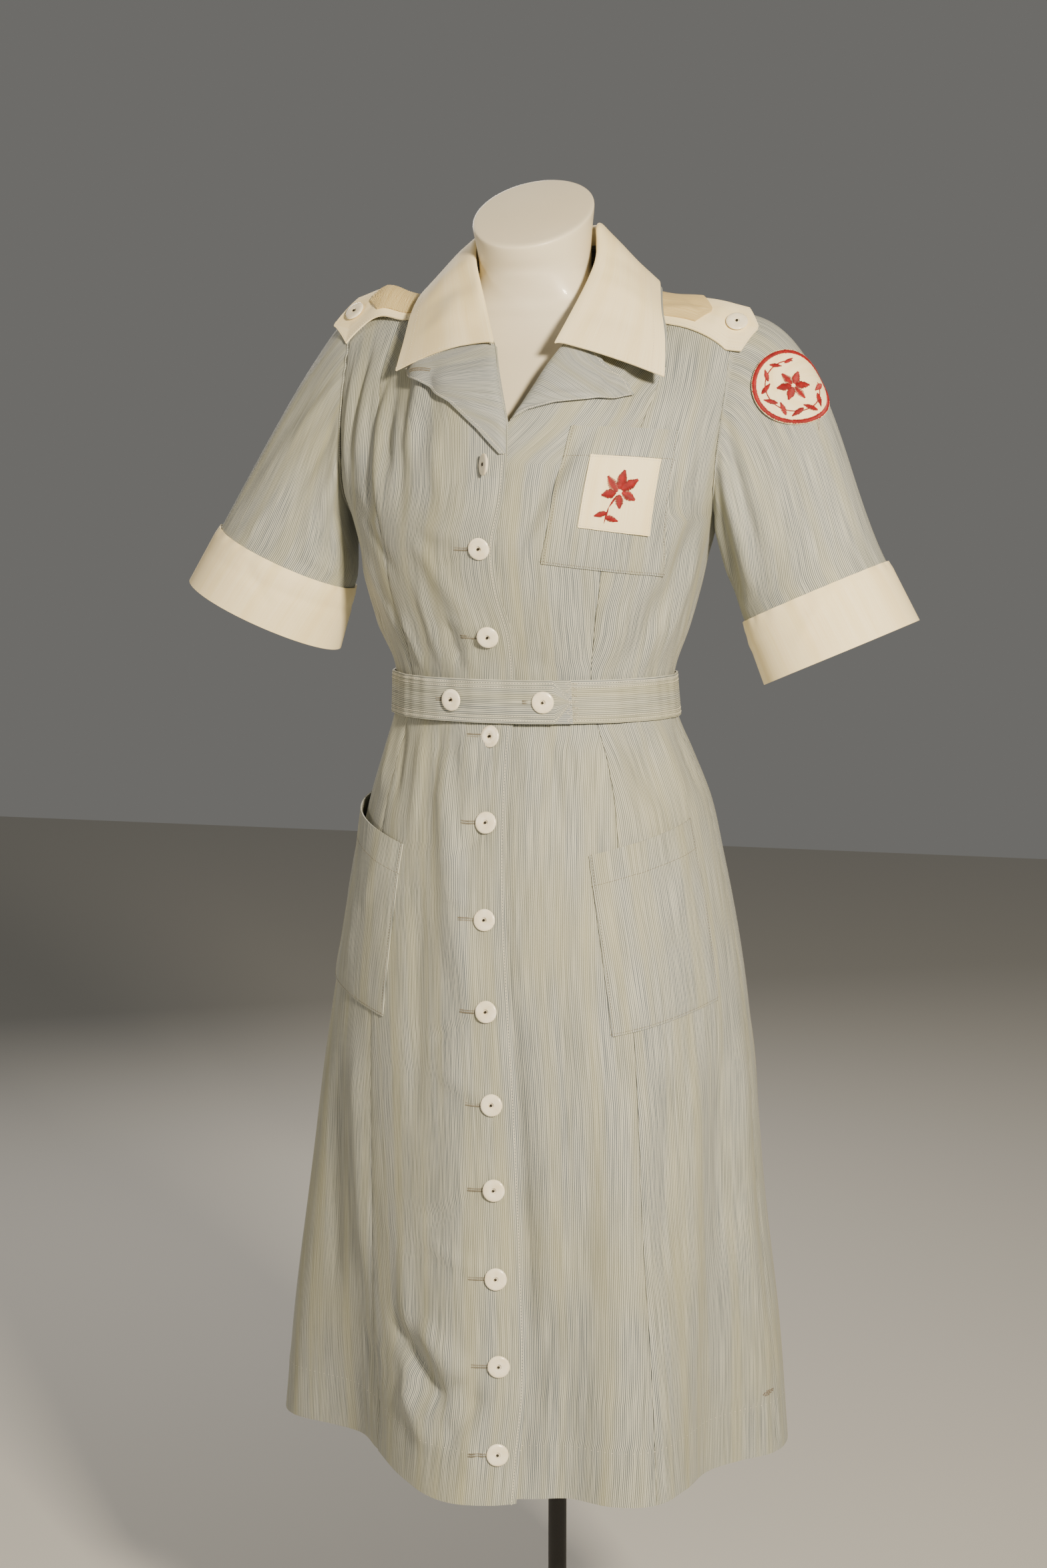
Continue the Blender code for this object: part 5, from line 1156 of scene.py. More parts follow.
SLEEVE_CREASES = {
    # turn_from, along_from, turn_to, along_to, out, half_width
    RIGHT: [
        (0.20, 0.02, 0.16, 0.40, -0.0024, 0.008), (0.28, 0.05, 0.24, 0.55, 0.0024, 0.009),
        (0.36, 0.04, 0.33, 0.50, -0.0030, 0.010), (0.12, 0.20, 0.10, 0.72, 0.0016, 0.010),
        (0.05, 0.04, 0.04, 0.30, 0.0014, 0.008), (0.42, 0.10, 0.36, 0.70, 0.0026, 0.010),
        (0.30, 0.42, 0.36, 0.78, -0.0020, 0.009), (0.22, 0.50, 0.18, 0.79, -0.0014, 0.008),
        (0.62, 0.05, 0.66, 0.55, -0.0028, 0.010), (0.70, 0.06, 0.74, 0.50, 0.0022, 0.009),
        (0.80, 0.04, 0.84, 0.60, -0.0018, 0.010), (0.92, 0.05, 0.93, 0.45, 0.0014, 0.009),
        (0.55, 0.15, 0.60, 0.75, 0.0022, 0.010),
    ],
    LEFT: [
        (0.22, 0.02, 0.30, 0.62, -0.0022, 0.009), (0.15, 0.04, 0.20, 0.60, 0.0016, 0.010),
        (0.33, 0.05, 0.36, 0.72, -0.0046, 0.010), (0.28, 0.08, 0.31, 0.60, 0.0026, 0.008),
        (0.41, 0.10, 0.41, 0.74, 0.0030, 0.010), (0.10, 0.03, 0.13, 0.34, 0.0014, 0.007),
        (0.05, 0.30, 0.08, 0.76, -0.0012, 0.010), (0.24, 0.45, 0.23, 0.79, 0.0014, 0.008),
        (0.47, 0.06, 0.46, 0.60, -0.0024, 0.009), (0.62, 0.05, 0.64, 0.60, -0.0028, 0.010),
        (0.70, 0.06, 0.72, 0.50, 0.0024, 0.009), (0.80, 0.05, 0.80, 0.62, -0.0020, 0.010),
        (0.90, 0.05, 0.90, 0.48, 0.0014, 0.010), (0.56, 0.12, 0.56, 0.75, 0.0022, 0.010),
    ],
}
SEAM_TUCK = 0.0012  # how far a sleeve's sewn edge lies under the panels
SLEEVE_RUN = np.concatenate([np.linspace(0.0, 1.0, 60), np.linspace(1.0, 2.0, 14)[1:]])
turns = np.arange(150) / 150
for side, word in ((RIGHT, "right"), (LEFT, "left")):
    points = sleeve_point(side, turns, SLEEVE_RUN)
    ease_in = 0.0005 * np.sin(turns * 2 * np.pi * 31) * ease((np.cos(turns * 2 * np.pi) - 0.1) / 0.5)
    fade = np.exp(-SLEEVE_RUN / 0.06)
    points = creased(points, [(a, b, c, d, -side * e, f) for a, b, c, d, e, f in SLEEVE_CREASES[side]], True)
    points = points + grid_normals(points, True) * (-side * ease_in[:, None] * fade)[..., None]
    sunk = grid_normals(points, True)[:, :1] * (side * SEAM_TUCK)
    tucked = points[:, :1] * 1.3 - points[:, 4:5] * 0.3 + sunk
    points = np.concatenate([tucked, points], 1)
    cloth(f"set_in_sleeve_{word}", points, striped_cotton, [f"sleeve_{word}"],
          closed=True, grain=0.0)

# Cuffs: straight bands of ivory cotton round the sleeve ends, topstitched along both edges and puckered a
# little where they are sewn on.
white_cotton = cotton("ivory cotton poplin", ("#FBEFCB", "#F1DFB0", "#E6CF92"), 0.7, 0.06, lined=0.1)
CUFF_CREASES = [
    # share round from, drop from, share round to, drop to, out, half_width
    (0.20, 0.10, 0.31, 0.70, 0.0010, 0.006),
    (0.55, 0.20, 0.62, 0.90, -0.0012, 0.008),
    (0.82, 0.10, 0.76, 0.80, 0.0010, 0.007),
    (0.95, 0.30, 0.04, 0.40, 0.0008, 0.005),
]
cuff_lines = []
for side, word in ((RIGHT, "right"), (LEFT, "left")):
    phase = 2 * np.pi * turns
    drops = np.linspace(0.0, 1.0, 30)
    outs = np.interp(drops, [0.0, 0.12, 1.0], [0.0014, 0.0026, 0.0030])
    rings = np.stack([cuff_ring(side, phase, drop, out) for drop, out in zip(drops, outs)], 1)
    pucker = 0.0006 * np.sin(phase * 23 + np.sin(phase * 5))[:, None] * np.exp(-drops / 0.09)
    wave = 0.0012 * np.sin(phase * 3 + 1.2)[:, None] * drops
    rings = rings + grid_normals(rings, True) * (pucker + wave)[..., None]
    rings = creased(rings, CUFF_CREASES, True)
    cloth(f"turned_cuff_{word}", rings, white_cotton, [f"cuff_{word}"],
          closed=True, grain=0.0, thickness=0.0014)
    for inset in (0.0022, 0.0056):
        spots, ways, wide = inset_line(rings, "bottom", inset, 0.0, closed=True)
        cuff_lines.append((spots - side * ways * 0.0007, -side * ways, wide))
stitches("cuff_sewing", cuff_lines, thread, step=0.0024, length=0.0019)

# Collar: the dress's own striped collar, and over it a removable ivory cover that hides all but its edge.
# Both roll over at the neck and lie on the shoulders and lapels. The collar, from the centre back to its
# front ends: its fold line at the neck and its outer edge.
COLLAR = {
    LEFT: [
        # station, fold x, y, z, outer x, y, z
        (0.00, 0.0000, 0.0560, 1.4300, 0.0000, 0.0960, 1.3640),
        (0.18, 0.0300, 0.0480, 1.4300, 0.0520, 0.0880, 1.3600),
        (0.36, 0.0495, 0.0280, 1.4295, 0.0870, 0.0620, 1.3690),
        (0.52, 0.0560, 0.0030, 1.4270, 0.1050, 0.0260, 1.3760),
        (0.68, 0.0625, -0.0220, 1.4000, 0.1180, -0.0220, 1.3550),
        (0.84, 0.0575, -0.0500, 1.3680, 0.1290, -0.0520, 1.3260),
        (1.00, 0.0455, -0.0930, 1.3235, 0.1345, -0.0760, 1.2940),
    ],
    RIGHT: [
        (0.00, 0.0000, 0.0560, 1.4300, 0.0000, 0.0960, 1.3640),
        (0.18, -0.0300, 0.0480, 1.4290, -0.0520, 0.0880, 1.3600),
        (0.36, -0.0490, 0.0280, 1.4260, -0.0860, 0.0620, 1.3700),
        (0.52, -0.0540, 0.0020, 1.4160, -0.1000, 0.0220, 1.3765),
        (0.68, -0.0448, -0.0330, 1.3960, -0.1050, -0.0220, 1.3520),
        (0.84, -0.0290, -0.0620, 1.3625, -0.1030, -0.0520, 1.3270),
        (1.00, -0.0100, -0.0970, 1.3236, -0.1014, -0.0800, 1.3005),
    ],
}
collar_at = {side: curve_through(rows) for side, rows in COLLAR.items()}
COLLAR_STAND = 0.018
COLLAR_CROWN = {LEFT: 0.004, RIGHT: 0.010}
COLLAR_LIFT = 0.0107
COLLAR_SHARES = np.array([-1.0, -0.4, -0.1, 0.05, 0.2, 0.42, 0.7, 1.0])
COLLAR_SPACE = 0.0030  # between the middles of the white cover and the striped collar under it


def top_height(x, y):
    """Height of the dress surface at X and Y near the shoulders. It runs on level past the armhole."""
    inside = np.clip(x, -0.172, 0.172)
    ridge_z, ridge_y = np.moveaxis(ridge_at(inside), -1, 0)
    share = np.ones_like(inside)
    for _ in range(5):
        section = section_at(UNDERARM_Z + share * (SHOULDER_LEVEL - UNDERARM_Z))
        half_width, front, back = section[..., 0], section[..., 1], section[..., 2]
        cosine = np.sqrt(1 - np.clip(inside / half_width, -0.999, 0.999) ** 2)
        depth = np.where(y < ridge_y, -front * cosine, back * cosine) - ridge_y
        share = (1 - np.clip((y - ridge_y) / depth, 0.0, 0.999) ** 2) ** (1 / round_power(inside))
    return UNDERARM_Z + share * (ridge_z - UNDERARM_Z)


def clear_of_dress(points, lift):
    """Points moved off the dress surface until they clear it by a lift."""
    points = points.copy()
    for _ in range(4):
        x, y, z = np.moveaxis(points, -1, 0)
        ridge_z, ridge_y = np.moveaxis(ridge_at(x), -1, 0)
        in_front = y < ridge_y
        level = level_at(x, np.minimum(z, ridge_z - 0.0005))
        angle = front_angle(x, level)
        surface_y = body(np.where(in_front, angle, 180.0 - angle), level)[..., 1]
        flat = np.where(z > ridge_z, 0.5, np.where(in_front, surface_y - y, y - surface_y))
        high = z - top_height(x, y)
        outside = np.where((high > 0) & (flat > 0), 1.0, -1.0)
        far = np.hypot(high, flat) + 1e-9
        away = outside * np.abs(high * flat) / far
        short = np.clip(lift - away, 0.0, 0.02)
        forward = np.where(in_front, -1.0, 1.0)
        points[..., 1] += forward * short * np.abs(high) / far
        points[..., 2] += short * np.abs(flat) / far
    return points


def collar_points(stations):
    """A grid over the white collar, from the wearer's right end round the back to the left end."""
    columns = []
    for station in stations:
        side = LEFT if station >= 0 else RIGHT
        row = collar_at[side](abs(station))
        fold, outer = row[:3], row[3:]
        away = (outer - fold) / np.linalg.norm(outer - fold)
        crown = fold * 0.55 + outer * 0.45 + np.array([0.0, 0.0, COLLAR_CROWN[side]])
        inward = -np.array([away[0], away[1], 0.0]) / np.linalg.norm(away[:2])
        column = []
        for share in COLLAR_SHARES:
            if share < 0:
                depth = 0.001 - share * COLLAR_STAND * ease((1.0 - abs(station)) / 0.45)
                point = fold + inward * 0.0012 - np.array([0.0, 0.0, depth])
            else:
                point = fold * (1 - share) ** 2 + crown * 2 * share * (1 - share) + outer * share**2
            column.append(point)
        columns.append(column)
    points = np.array(columns)
    over_straps = ease((points[:, 3:, 2] - 1.335) / 0.02)
    points[:, 3:] = clear_of_dress(points[:, 3:], COLLAR_LIFT + 0.003 * over_straps)
    return points


def finer(points, across, along):
    """A denser grid, smooth through the same points."""
    rows = np.arange(len(points))
    spread = curve_through(np.column_stack([rows, points.reshape(len(points), -1)]))
    dense = spread(np.linspace(0, len(points) - 1, across)).reshape(across, -1, 3)
    columns = np.arange(dense.shape[1])
    spread = curve_through(np.column_stack([columns, np.swapaxes(dense, 0, 1).reshape(dense.shape[1], -1)]))
    return np.swapaxes(spread(np.linspace(0, dense.shape[1] - 1, along)).reshape(along, across, 3), 0, 1)


stations = np.linspace(-1.0, 1.0, 27)
coarse = collar_points(stations)
under = (coarse - grid_normals(coarse, False) * COLLAR_SPACE)[:, 4:]
stay = 0.3 * ease((COLLAR_SHARES[4:] - 0.45) / 0.4)[:, None]
under[0] = under[1] + (under[0] - under[1]) * stay
under[-1] = under[-2] + (under[-1] - under[-2]) * stay
outward = under[:, -1] - under[:, -2]
outward = outward / np.linalg.norm(outward, axis=-1, keepdims=True)
reach = 0.0015 + 0.004 * ease((np.abs(stations) - 0.15) / 0.2) * ease((0.95 - np.abs(stations)) / 0.2)
under[:, -1] = clear_of_dress(under[:, -1] + outward * reach[:, None], COLLAR_LIFT - 0.0024)
COVER_CREASES = [
    # share_round_from, share_down_from, share_round_to, share_down_to, out, half_width
    (0.04, 0.45, 0.07, 0.92, 0.0012, 0.007), (0.10, 0.40, 0.13, 0.95, -0.0010, 0.008),
    (0.16, 0.42, 0.17, 0.90, 0.0010, 0.008), (0.95, 0.45, 0.93, 0.90, -0.0012, 0.007),
    (0.90, 0.40, 0.87, 0.95, 0.0012, 0.008), (0.84, 0.42, 0.80, 0.90, -0.0010, 0.008),
    (0.30, 0.50, 0.33, 0.95, 0.0010, 0.009), (0.50, 0.50, 0.49, 0.92, -0.0008, 0.009),
    (0.68, 0.50, 0.66, 0.95, 0.0010, 0.009),
]
cover = creased(finer(coarse, 190, 60), COVER_CREASES)
cloth("collar_cover_white", cover, white_cotton, ["collar_cover"],
      grain=0.5, thickness=0.0012, turn=True)
own_collar = finer(under, 190, 34)
cloth("collar_striped", own_collar, lapel_cotton, ["collar"],
      grain=0.5, turn=True)
cover_lines = [
    inset_line(cover, "top", 0.0115, 0.0006),
    inset_line(cover[:, 22:], "first", 0.0030, 0.0006),
    inset_line(cover[:, 22:], "last", 0.0030, 0.0006),
]
stitches(
    "collar_cover_sewing", cover_lines, thread, step=0.0030, length=0.0018, width=0.0005, height=0.0004
)

# Shoulder straps: ivory cotton bands on the shoulder seams, cut to a point at the arm. A shorter beige
# ribbed tape lies on each. They tuck in under the collar and button down at the point.
STRAP_INNER = 0.094
STRAP_ENDS = {RIGHT: (0.172, 0.1900), LEFT: (0.1855, 0.1975)}  # where the point starts, and its tip
STRAP_BUTTON_X = {RIGHT: 0.1680, LEFT: 0.1780}
STRAP_EDGES = {  # front and back edge in Y at its inner end, and at its tip
    RIGHT: ((-0.014, 0.026), (-0.008, 0.026)),
    LEFT: ((-0.017, 0.025), (-0.007, 0.026)),
}
STRAP_DROOP = {RIGHT: 0.45, LEFT: 0.25}  # its slope past the armhole
STRAP_LIFT = 0.0028
TAPE_ENDS = {RIGHT: (0.1440, 0.1560), LEFT: (0.1450, 0.1570)}
TAPE_MARGIN = 0.005  # of the strap's front that the tape leaves bare
TAPE_LIFT = 0.0025  # above the strap's middle
STRAP_BUMP = {RIGHT: 0.009, LEFT: 0.001}  # the strap buckles up ahead of its button
STRAP_BACK_RISE = 0.25  # how steeply its back half stands up towards its outer end


def strap_edges(x, side):
    """Y of a strap's front and back edge at a distance X from the middle."""
    share = (np.abs(x) - STRAP_INNER) / (STRAP_ENDS[side][1] - STRAP_INNER)
    inner, outer = STRAP_EDGES[side]
    return inner[0] + (outer[0] - inner[0]) * share, inner[1] + (outer[1] - inner[1]) * share


def strap_top(x, y, side):
    """Height of a strap's middle surface. Past the armhole it slopes down to its point."""
    past = np.clip(np.abs(x) - 0.172, 0.0, None)
    bump = STRAP_BUMP[side] * np.exp(-(((np.abs(x) - 0.142) / 0.020) ** 2))
    slope = (top_height(x, y + 0.003) - top_height(x, y - 0.003)) / 0.006
    behind = np.clip(y - sum(strap_edges(x, side)) / 2, 0.0, None) * ease((np.abs(x) - 0.120) / 0.050)
    rise = bump + STRAP_BACK_RISE * behind - past * STRAP_DROOP[side]
    return top_height(x, y) + STRAP_LIFT * np.sqrt(1 + slope**2) + rise


def strap_points(side, ends, margin, lift):
    """A strap along the shoulder whose outer end is cut to a point, or the tape on it inside a margin."""
    square, tip = ends
    pointed = np.linspace(square, tip - 0.001, 14)[1:]
    lengths = np.concatenate([np.linspace(STRAP_INNER, square, 46), pointed])
    across = np.linspace(0.0, 1.0, 26)
    columns = []
    for length in lengths:
        front_y, back_y = strap_edges(length, side)
        front_y, back_y = front_y + margin, back_y - 0.2 * margin
        middle = (front_y + back_y) / 2
        narrowing = 1.0 if length <= square else max((tip - length) / (tip - square), 0.08)
        y = middle + (front_y + (back_y - front_y) * across - middle) * narrowing
        x = np.full_like(y, side * length)
        columns.append(np.stack([x, y, strap_top(x, y, side) + lift], -1))
    points = np.array(columns)
    return points if side == LEFT else points[::-1]


tape_cotton = cotton("beige ribbed tape", ("#DCC995", "#BCA46C", "#CFB67C"), 1.4, 0.35, lined=0.5)
TAPE_CREASES = [
    # share across from, share along from, across to, along to, out, half_width
    (0.15, 0.10, 0.95, 0.45, 0.0014, 0.004),
    (0.45, 0.90, 0.90, 0.20, -0.0010, 0.004),
]
strap_lines = []
for side, word in ((RIGHT, "right"), (LEFT, "left")):
    points = strap_points(side, STRAP_ENDS[side], 0.0, 0.0)
    points = creased(points, [(0.55, 0.1, 0.60, 0.9, 0.0009, 0.004), (0.68, 0.9, 0.74, 0.2, -0.0008, 0.004),
                              (0.40, 0.2, 0.46, 0.8, -0.0008, 0.005)])
    cloth(f"shoulder_strap_{word}", points, white_cotton, [f"strap_{word}"],
          thickness=0.0014, turn=True)
    strap_lines += [inset_line(points, "bottom", 0.0025, 0.0007), inset_line(points, "top", 0.0025, 0.0007)]
    points = strap_points(side, TAPE_ENDS[side], TAPE_MARGIN, TAPE_LIFT)
    ribs = 0.00035 * np.sin(spacing(points, 0) * 2 * np.pi / 0.0026)
    if side == RIGHT:
        points = points + grid_normals(points, False) * ribs[..., None]
    else:
        points = creased(points, TAPE_CREASES)
    cloth(f"ribbed_tape_{word}", points, tape_cotton, [f"strap_tape_{word}"],
          thickness=0.0010, turn=side == LEFT)
stitches("strap_sewing", strap_lines, thread, step=0.0024, length=0.0019)

# Belt: one strip of the same cotton, its stripe running round the waist, doubled and topstitched along
# both edges. It ends in a point over its own start, where the raw end of the under layer frays out.
BELT_WIDTH = 0.037
# The belt: one strip that starts under its own pointed end and goes once round.
BELT_START, BELT_TIP = -22.0, 386.5
BELT_TIP_LENGTH = 6.5  # degrees over which the belt narrows to its point
WAIST_SHARES = np.linspace(-0.5, 0.5, 13)


def belt_lift(run):
    """How far the belt's middle surface stands off the body, along its run in degrees."""
    low_layer = 0.0052 - 0.0026 * ease((run - 36.0) / 26.0)
    top_layer = 0.0026 + 0.0052 * ease((run - 296.0) / 30.0)
    return np.where(run < 180.0, low_layer, top_layer)


def belt_edge(run, level):
    """Where the belt's middle surface passes at one of its two edges."""
    level = np.broadcast_to(level, run.shape)
    out = body_normal(run, level)
    out[..., 2] = 0
    out = out / np.linalg.norm(out, axis=-1, keepdims=True)
    return body(run, level) + out * belt_lift(run)[..., None]


def belt_middle(run):
    """The belt's middle line, half way between its edges, and the level direction out of it."""
    run = np.asarray(run, float)
    middle = (belt_edge(run, WAIST_Z + BELT_WIDTH / 2) + belt_edge(run, WAIST_Z - BELT_WIDTH / 2)) / 2
    out = body_normal(run, np.broadcast_to(WAIST_Z, run.shape))
    out[..., 2] = 0
    return middle, out / np.linalg.norm(out, axis=-1, keepdims=True)


run = np.linspace(BELT_START, BELT_TIP, 420)
middle, out = belt_middle(run)
slope = belt_edge(run, WAIST_Z + BELT_WIDTH / 2) - belt_edge(run, WAIST_Z - BELT_WIDTH / 2)
narrowed = 0.94 * np.maximum(run - BELT_TIP + BELT_TIP_LENGTH, 0.0) / BELT_TIP_LENGTH
width = 1 - narrowed
points = middle[:, None] + slope[:, None] * (WAIST_SHARES[None, :, None] * width[:, None, None])
ripple = 0.0004 * np.sin(run * 0.31) + 0.0003 * np.sin(run * 0.83 + 1)
belt = points + out[:, None] * (ripple[:, None, None] * (1 + 0.5 * WAIST_SHARES[None, :, None]))
belt = belt + (out * 0.0010 * ease((run - BELT_TIP + 16.0) / 12.0)[:, None])[:, None]
cloth("waist_belt", belt, striped_cotton, ["belt"],
      turn=True, thickness=0.0015)
square = int(np.argmax(run > BELT_TIP - BELT_TIP_LENGTH))
belt_lines = []
for edge in ("bottom", "top"):
    for inset in (0.0026, 0.0062):
        belt_lines.append(inset_line(belt[:square], edge, inset, 0.0008))
    belt_lines.append(inset_line(belt[square - 1:], edge, 0.0022, 0.0008))
stitches("belt_sewing", belt_lines, thread, step=0.0024, length=0.0019)

# Belt facing: the raw square end of the strip's inner layer, which shows on both sides of the point. It
# is caught with a zigzag, and its threads fray out.
end_run = np.linspace(BELT_TIP - BELT_TIP_LENGTH - 1.0, BELT_TIP + 0.3, 12)
middle, out = belt_middle(end_run)
slope = belt_edge(end_run, WAIST_Z + BELT_WIDTH / 2) - belt_edge(end_run, WAIST_Z - BELT_WIDTH / 2)
facing = (middle - out * 0.0010)[:, None] + slope[:, None] * WAIST_SHARES[None, :, None]
cloth("belt_facing", facing, lapel_cotton, [], turn=True)
face_out = grid_normals(facing, False)
teeth = np.array([-1, -4] * 6 + [-1])
rows = np.arange(13)
fray_lines = [(facing[teeth, rows] + face_out[teeth, rows] * 0.0007, face_out[teeth, rows], 0.7)]
away = facing[-1] - facing[-2]
away = away / np.linalg.norm(away, axis=-1, keepdims=True)
for k in range(26):
    place, reach = 0.3 + k * 0.445, 0.0022 + 0.0030 * abs(math.sin(k * 2.3))
    low, share = int(place), place % 1.0
    start = facing[-1, low] * (1 - share) + facing[-1, low + 1] * share
    bend = np.array([0.0, 0.0, math.sin(k * 1.7)]) * 0.0016
    path = [start, start + away[low] * reach * 0.5 + bend * 0.3, start + away[low] * reach + bend]
    fray_lines.append((np.array(path), np.repeat(face_out[-1, low:low + 1], 3, 0), 0.45))
stitches("belt_end_threads", fray_lines, thread, step=0.0012, length=0.0014)

# Patch pockets: one on the left chest and one on each hip, turned in and topstitched on three sides, with
# a deep hem across the mouth. The hip pockets stand a little open. Skirt pockets by angle and height,
# since they run round the hip.
SKIRT_POCKETS = {
    RIGHT: ((-35.5, 0.893), (-86.0, 0.926), (-80.0, 0.762), (-36.0, 0.741)),
    LEFT: ((27.5, 0.891), (69.0, 0.917), (71.5, 0.760), (32.0, 0.740)),
}


def four_corner(corners, columns, rows):
    """A grid spread evenly between four corners."""
    top_in, top_out, low_out, low_in = (np.array(c) for c in corners)
    s = np.linspace(0.0, 1.0, columns)[:, None, None]
    t = np.linspace(0.0, 1.0, rows)[None, :, None]
    return (low_in * (1 - s) + low_out * s) * (1 - t) + (top_in * (1 - s) + top_out * s) * t


def flat_at_edges(columns, rows, deep):
    """How far a stitched-down patch rises inside its edges, with its mouth left free."""
    s, t = np.linspace(0, 1, columns)[:, None], np.linspace(0, 1, rows)[None, :]
    return deep * (1 - np.exp(-s / 0.05)) * (1 - np.exp(-(1 - s) / 0.05)) * (1 - np.exp(-t / 0.04))


pocket_lines = []
CHEST_POCKET_CREASES = [
    # share across from, share up from, across to, up to, out, half_width
    (0.05, 0.55, 0.35, 0.10, 0.0009, 0.007),
    (0.95, 0.60, 0.70, 0.05, -0.0010, 0.008),
]
HIP_POCKET_CREASES = [
    # share across from, share up from, across to, up to, out, half_width
    (0.15, 0.95, 0.40, 0.45, -0.0014, 0.009),
    (0.85, 0.95, 0.62, 0.50, 0.0014, 0.010),
    (0.50, 0.60, 0.45, 0.12, 0.0012, 0.011),
    (0.20, 0.50, 0.12, 0.10, -0.0012, 0.009),
]
CHEST_POCKET = ((0.0634, 1.2530), (0.1449, 1.2486), (0.1295, 1.1270), (0.0395, 1.1389))
plan = four_corner(CHEST_POCKET, 56, 66)
mouth = np.linspace(0.0, 1.0, 66)[None, :] ** 6 * np.sin(np.linspace(0.0, np.pi, 56))[:, None]
rise = 0.0014 + flat_at_edges(56, 66, 0.0010) + 0.0010 * mouth
chest_pocket = front_place(plan[..., 0], plan[..., 1], rise)
chest_pocket = creased(chest_pocket, CHEST_POCKET_CREASES)
cloth("chest_pocket", chest_pocket, striped_cotton, ["pocket_chest"])
POCKET_HEM = 0.026
grids = [chest_pocket]
for side, word in ((RIGHT, "right"), (LEFT, "left")):
    plan = four_corner(SKIRT_POCKETS[side], 64, 80)
    mouth = np.linspace(0.0, 1.0, 80)[None, :] ** 3 * np.sin(np.linspace(0.0, np.pi, 64))[:, None]
    gape = 0.006 if side == RIGHT else 0.004
    points = lifted(plan[..., 0], plan[..., 1], 0.0014 + flat_at_edges(64, 80, 0.0010) + gape * mouth)
    points = points[::-1] if side == RIGHT else points
    points = creased(points, HIP_POCKET_CREASES)
    cloth(f"hip_pocket_{word}", points, striped_cotton, [f"pocket_skirt_{word}"])
    grids.append(points)
for points in grids:
    for edge in ("first", "last", "bottom"):
        pocket_lines.append(inset_line(points, edge, 0.0020, FACE))
    pocket_lines.append(inset_line(points, "top", POCKET_HEM, FACE))
# The pocket stitching is dark grey: partly its own thread colour, partly painted shade along the pocket
# edges.
stitches("pocket_sewing", pocket_lines, dark_thread_and_painted_edge_shade, step=0.0025, length=0.0020)

# Chest patch: a small oblong of ivory cotton, turned in and sewn to the pocket, embroidered in red silk
# with a plain blossom and two leaves. The threads lie side by side across each shape, in satin stitch.
CHEST_PATCH = ((0.0795, 1.2290), (0.1316, 1.2250), (0.1220, 1.1620), (0.0700, 1.1695))
plan = four_corner(CHEST_PATCH, 40, 46)
patch = front_place(plan[..., 0], plan[..., 1], 0.0040)
patch = creased(patch, [(0.1, 0.9, 0.3, 0.4, 0.0006, 0.005), (0.9, 0.2, 0.7, 0.6, -0.0006, 0.005)])
cloth("chest_patch_ivory", patch, white_cotton, ["chest_patch"],
      thickness=0.0012)
patch_lines = [inset_line(patch, edge, 0.0016, 0.0006) for edge in ("first", "last", "bottom", "top")]
stitches("patch_sewing", patch_lines, thread, step=0.0022, length=0.0018)

red_silk, tree, shader = new_material(
    "red embroidery silk, satin stitched", Roughness=0.50, Sheen_Weight=0.1
)
place = put(tree, "ShaderNodeTexCoord").outputs["Object"]
dye = put(tree, "ShaderNodeTexNoise", {"Vector": place, "Scale": 260.0, "Detail": 2.0}).outputs["Fac"]
tree.links.new(shade(tree, dye, [(0.30, "#780206"), (0.72, "#A00609")]), shader.inputs["Base Color"])
MOTIF = [
    # from across, from up, to across, to up, widest, in metres from the middle of the patch
    (0.0000, 0.0045, 0.0015, 0.0205, 0.0104),
    (0.0020, 0.0040, 0.0145, 0.0135, 0.0098),
    (0.0030, 0.0020, 0.0150, -0.0035, 0.0096),
    (-0.0015, 0.0020, -0.0120, 0.0145, 0.0098),
    (-0.0025, 0.0010, -0.0145, -0.0020, 0.0094),
    (0.0008, -0.0005, 0.0030, -0.0118, 0.0088),
    (-0.0010, -0.0010, -0.0065, -0.0120, 0.0024),
    (-0.0065, -0.0120, -0.0085, -0.0255, 0.0020),
    (-0.0085, -0.0200, 0.0030, -0.0225, 0.0066),
    (-0.0078, -0.0165, -0.0180, -0.0205, 0.0062),
]


def spot_on(points, across, up):
    """A place on a grid by its distances from the grid's middle, with the direction out of it."""
    wide, long = spacing(points, 0)[-1].mean(), spacing(points, 1)[:, -1].mean()
    a = (0.5 + across / wide) * (len(points) - 1)
    b = (0.5 + up / long) * (points.shape[1] - 1)
    i, j = min(int(a), len(points) - 2), min(int(b), points.shape[1] - 2)
    s, t = a - i, b - j
    corner = points[i, j]
    right, top = points[i + 1, j] - corner, points[i, j + 1] - corner
    normal = np.cross(right, top)
    return corner + right * s + top * t, normal / np.linalg.norm(normal)


def satin(spot, rows, lift, ends=0.30):
    """Guide lines for satin-stitched leaves, each down a leaf's middle with the leaf's width along it."""
    lines = []
    for across_0, up_0, across_1, up_1, widest in rows:
        share = np.linspace(0.0, 1.0, 30)
        found = [spot(across_0 + (across_1 - across_0) * t, up_0 + (up_1 - up_0) * t) for t in share]
        ways = np.array([way for _, way in found])
        belly = np.maximum(np.sin(np.pi * (0.06 + 0.88 * share) ** 0.85), ends)
        lines.append((np.array([p for p, _ in found]) + ways * lift, ways, widest * belly))
    return lines


motif = satin(lambda across, up: spot_on(patch, across, up), MOTIF, 0.0008)
stitches(
    "patch_blossom", motif, red_silk, step=0.00042, length=0.00055, width=1.0, height=0.0009, seed=4
)

# Sleeve badge: a round of ivory cotton on the left sleeve, its edge bound in red satin stitch, with a
# sprig of red leaves round a small blossom.
BADGE_RADIUS = 0.0355
BADGE_TURN, BADGE_ALONG = 0.086, 0.330


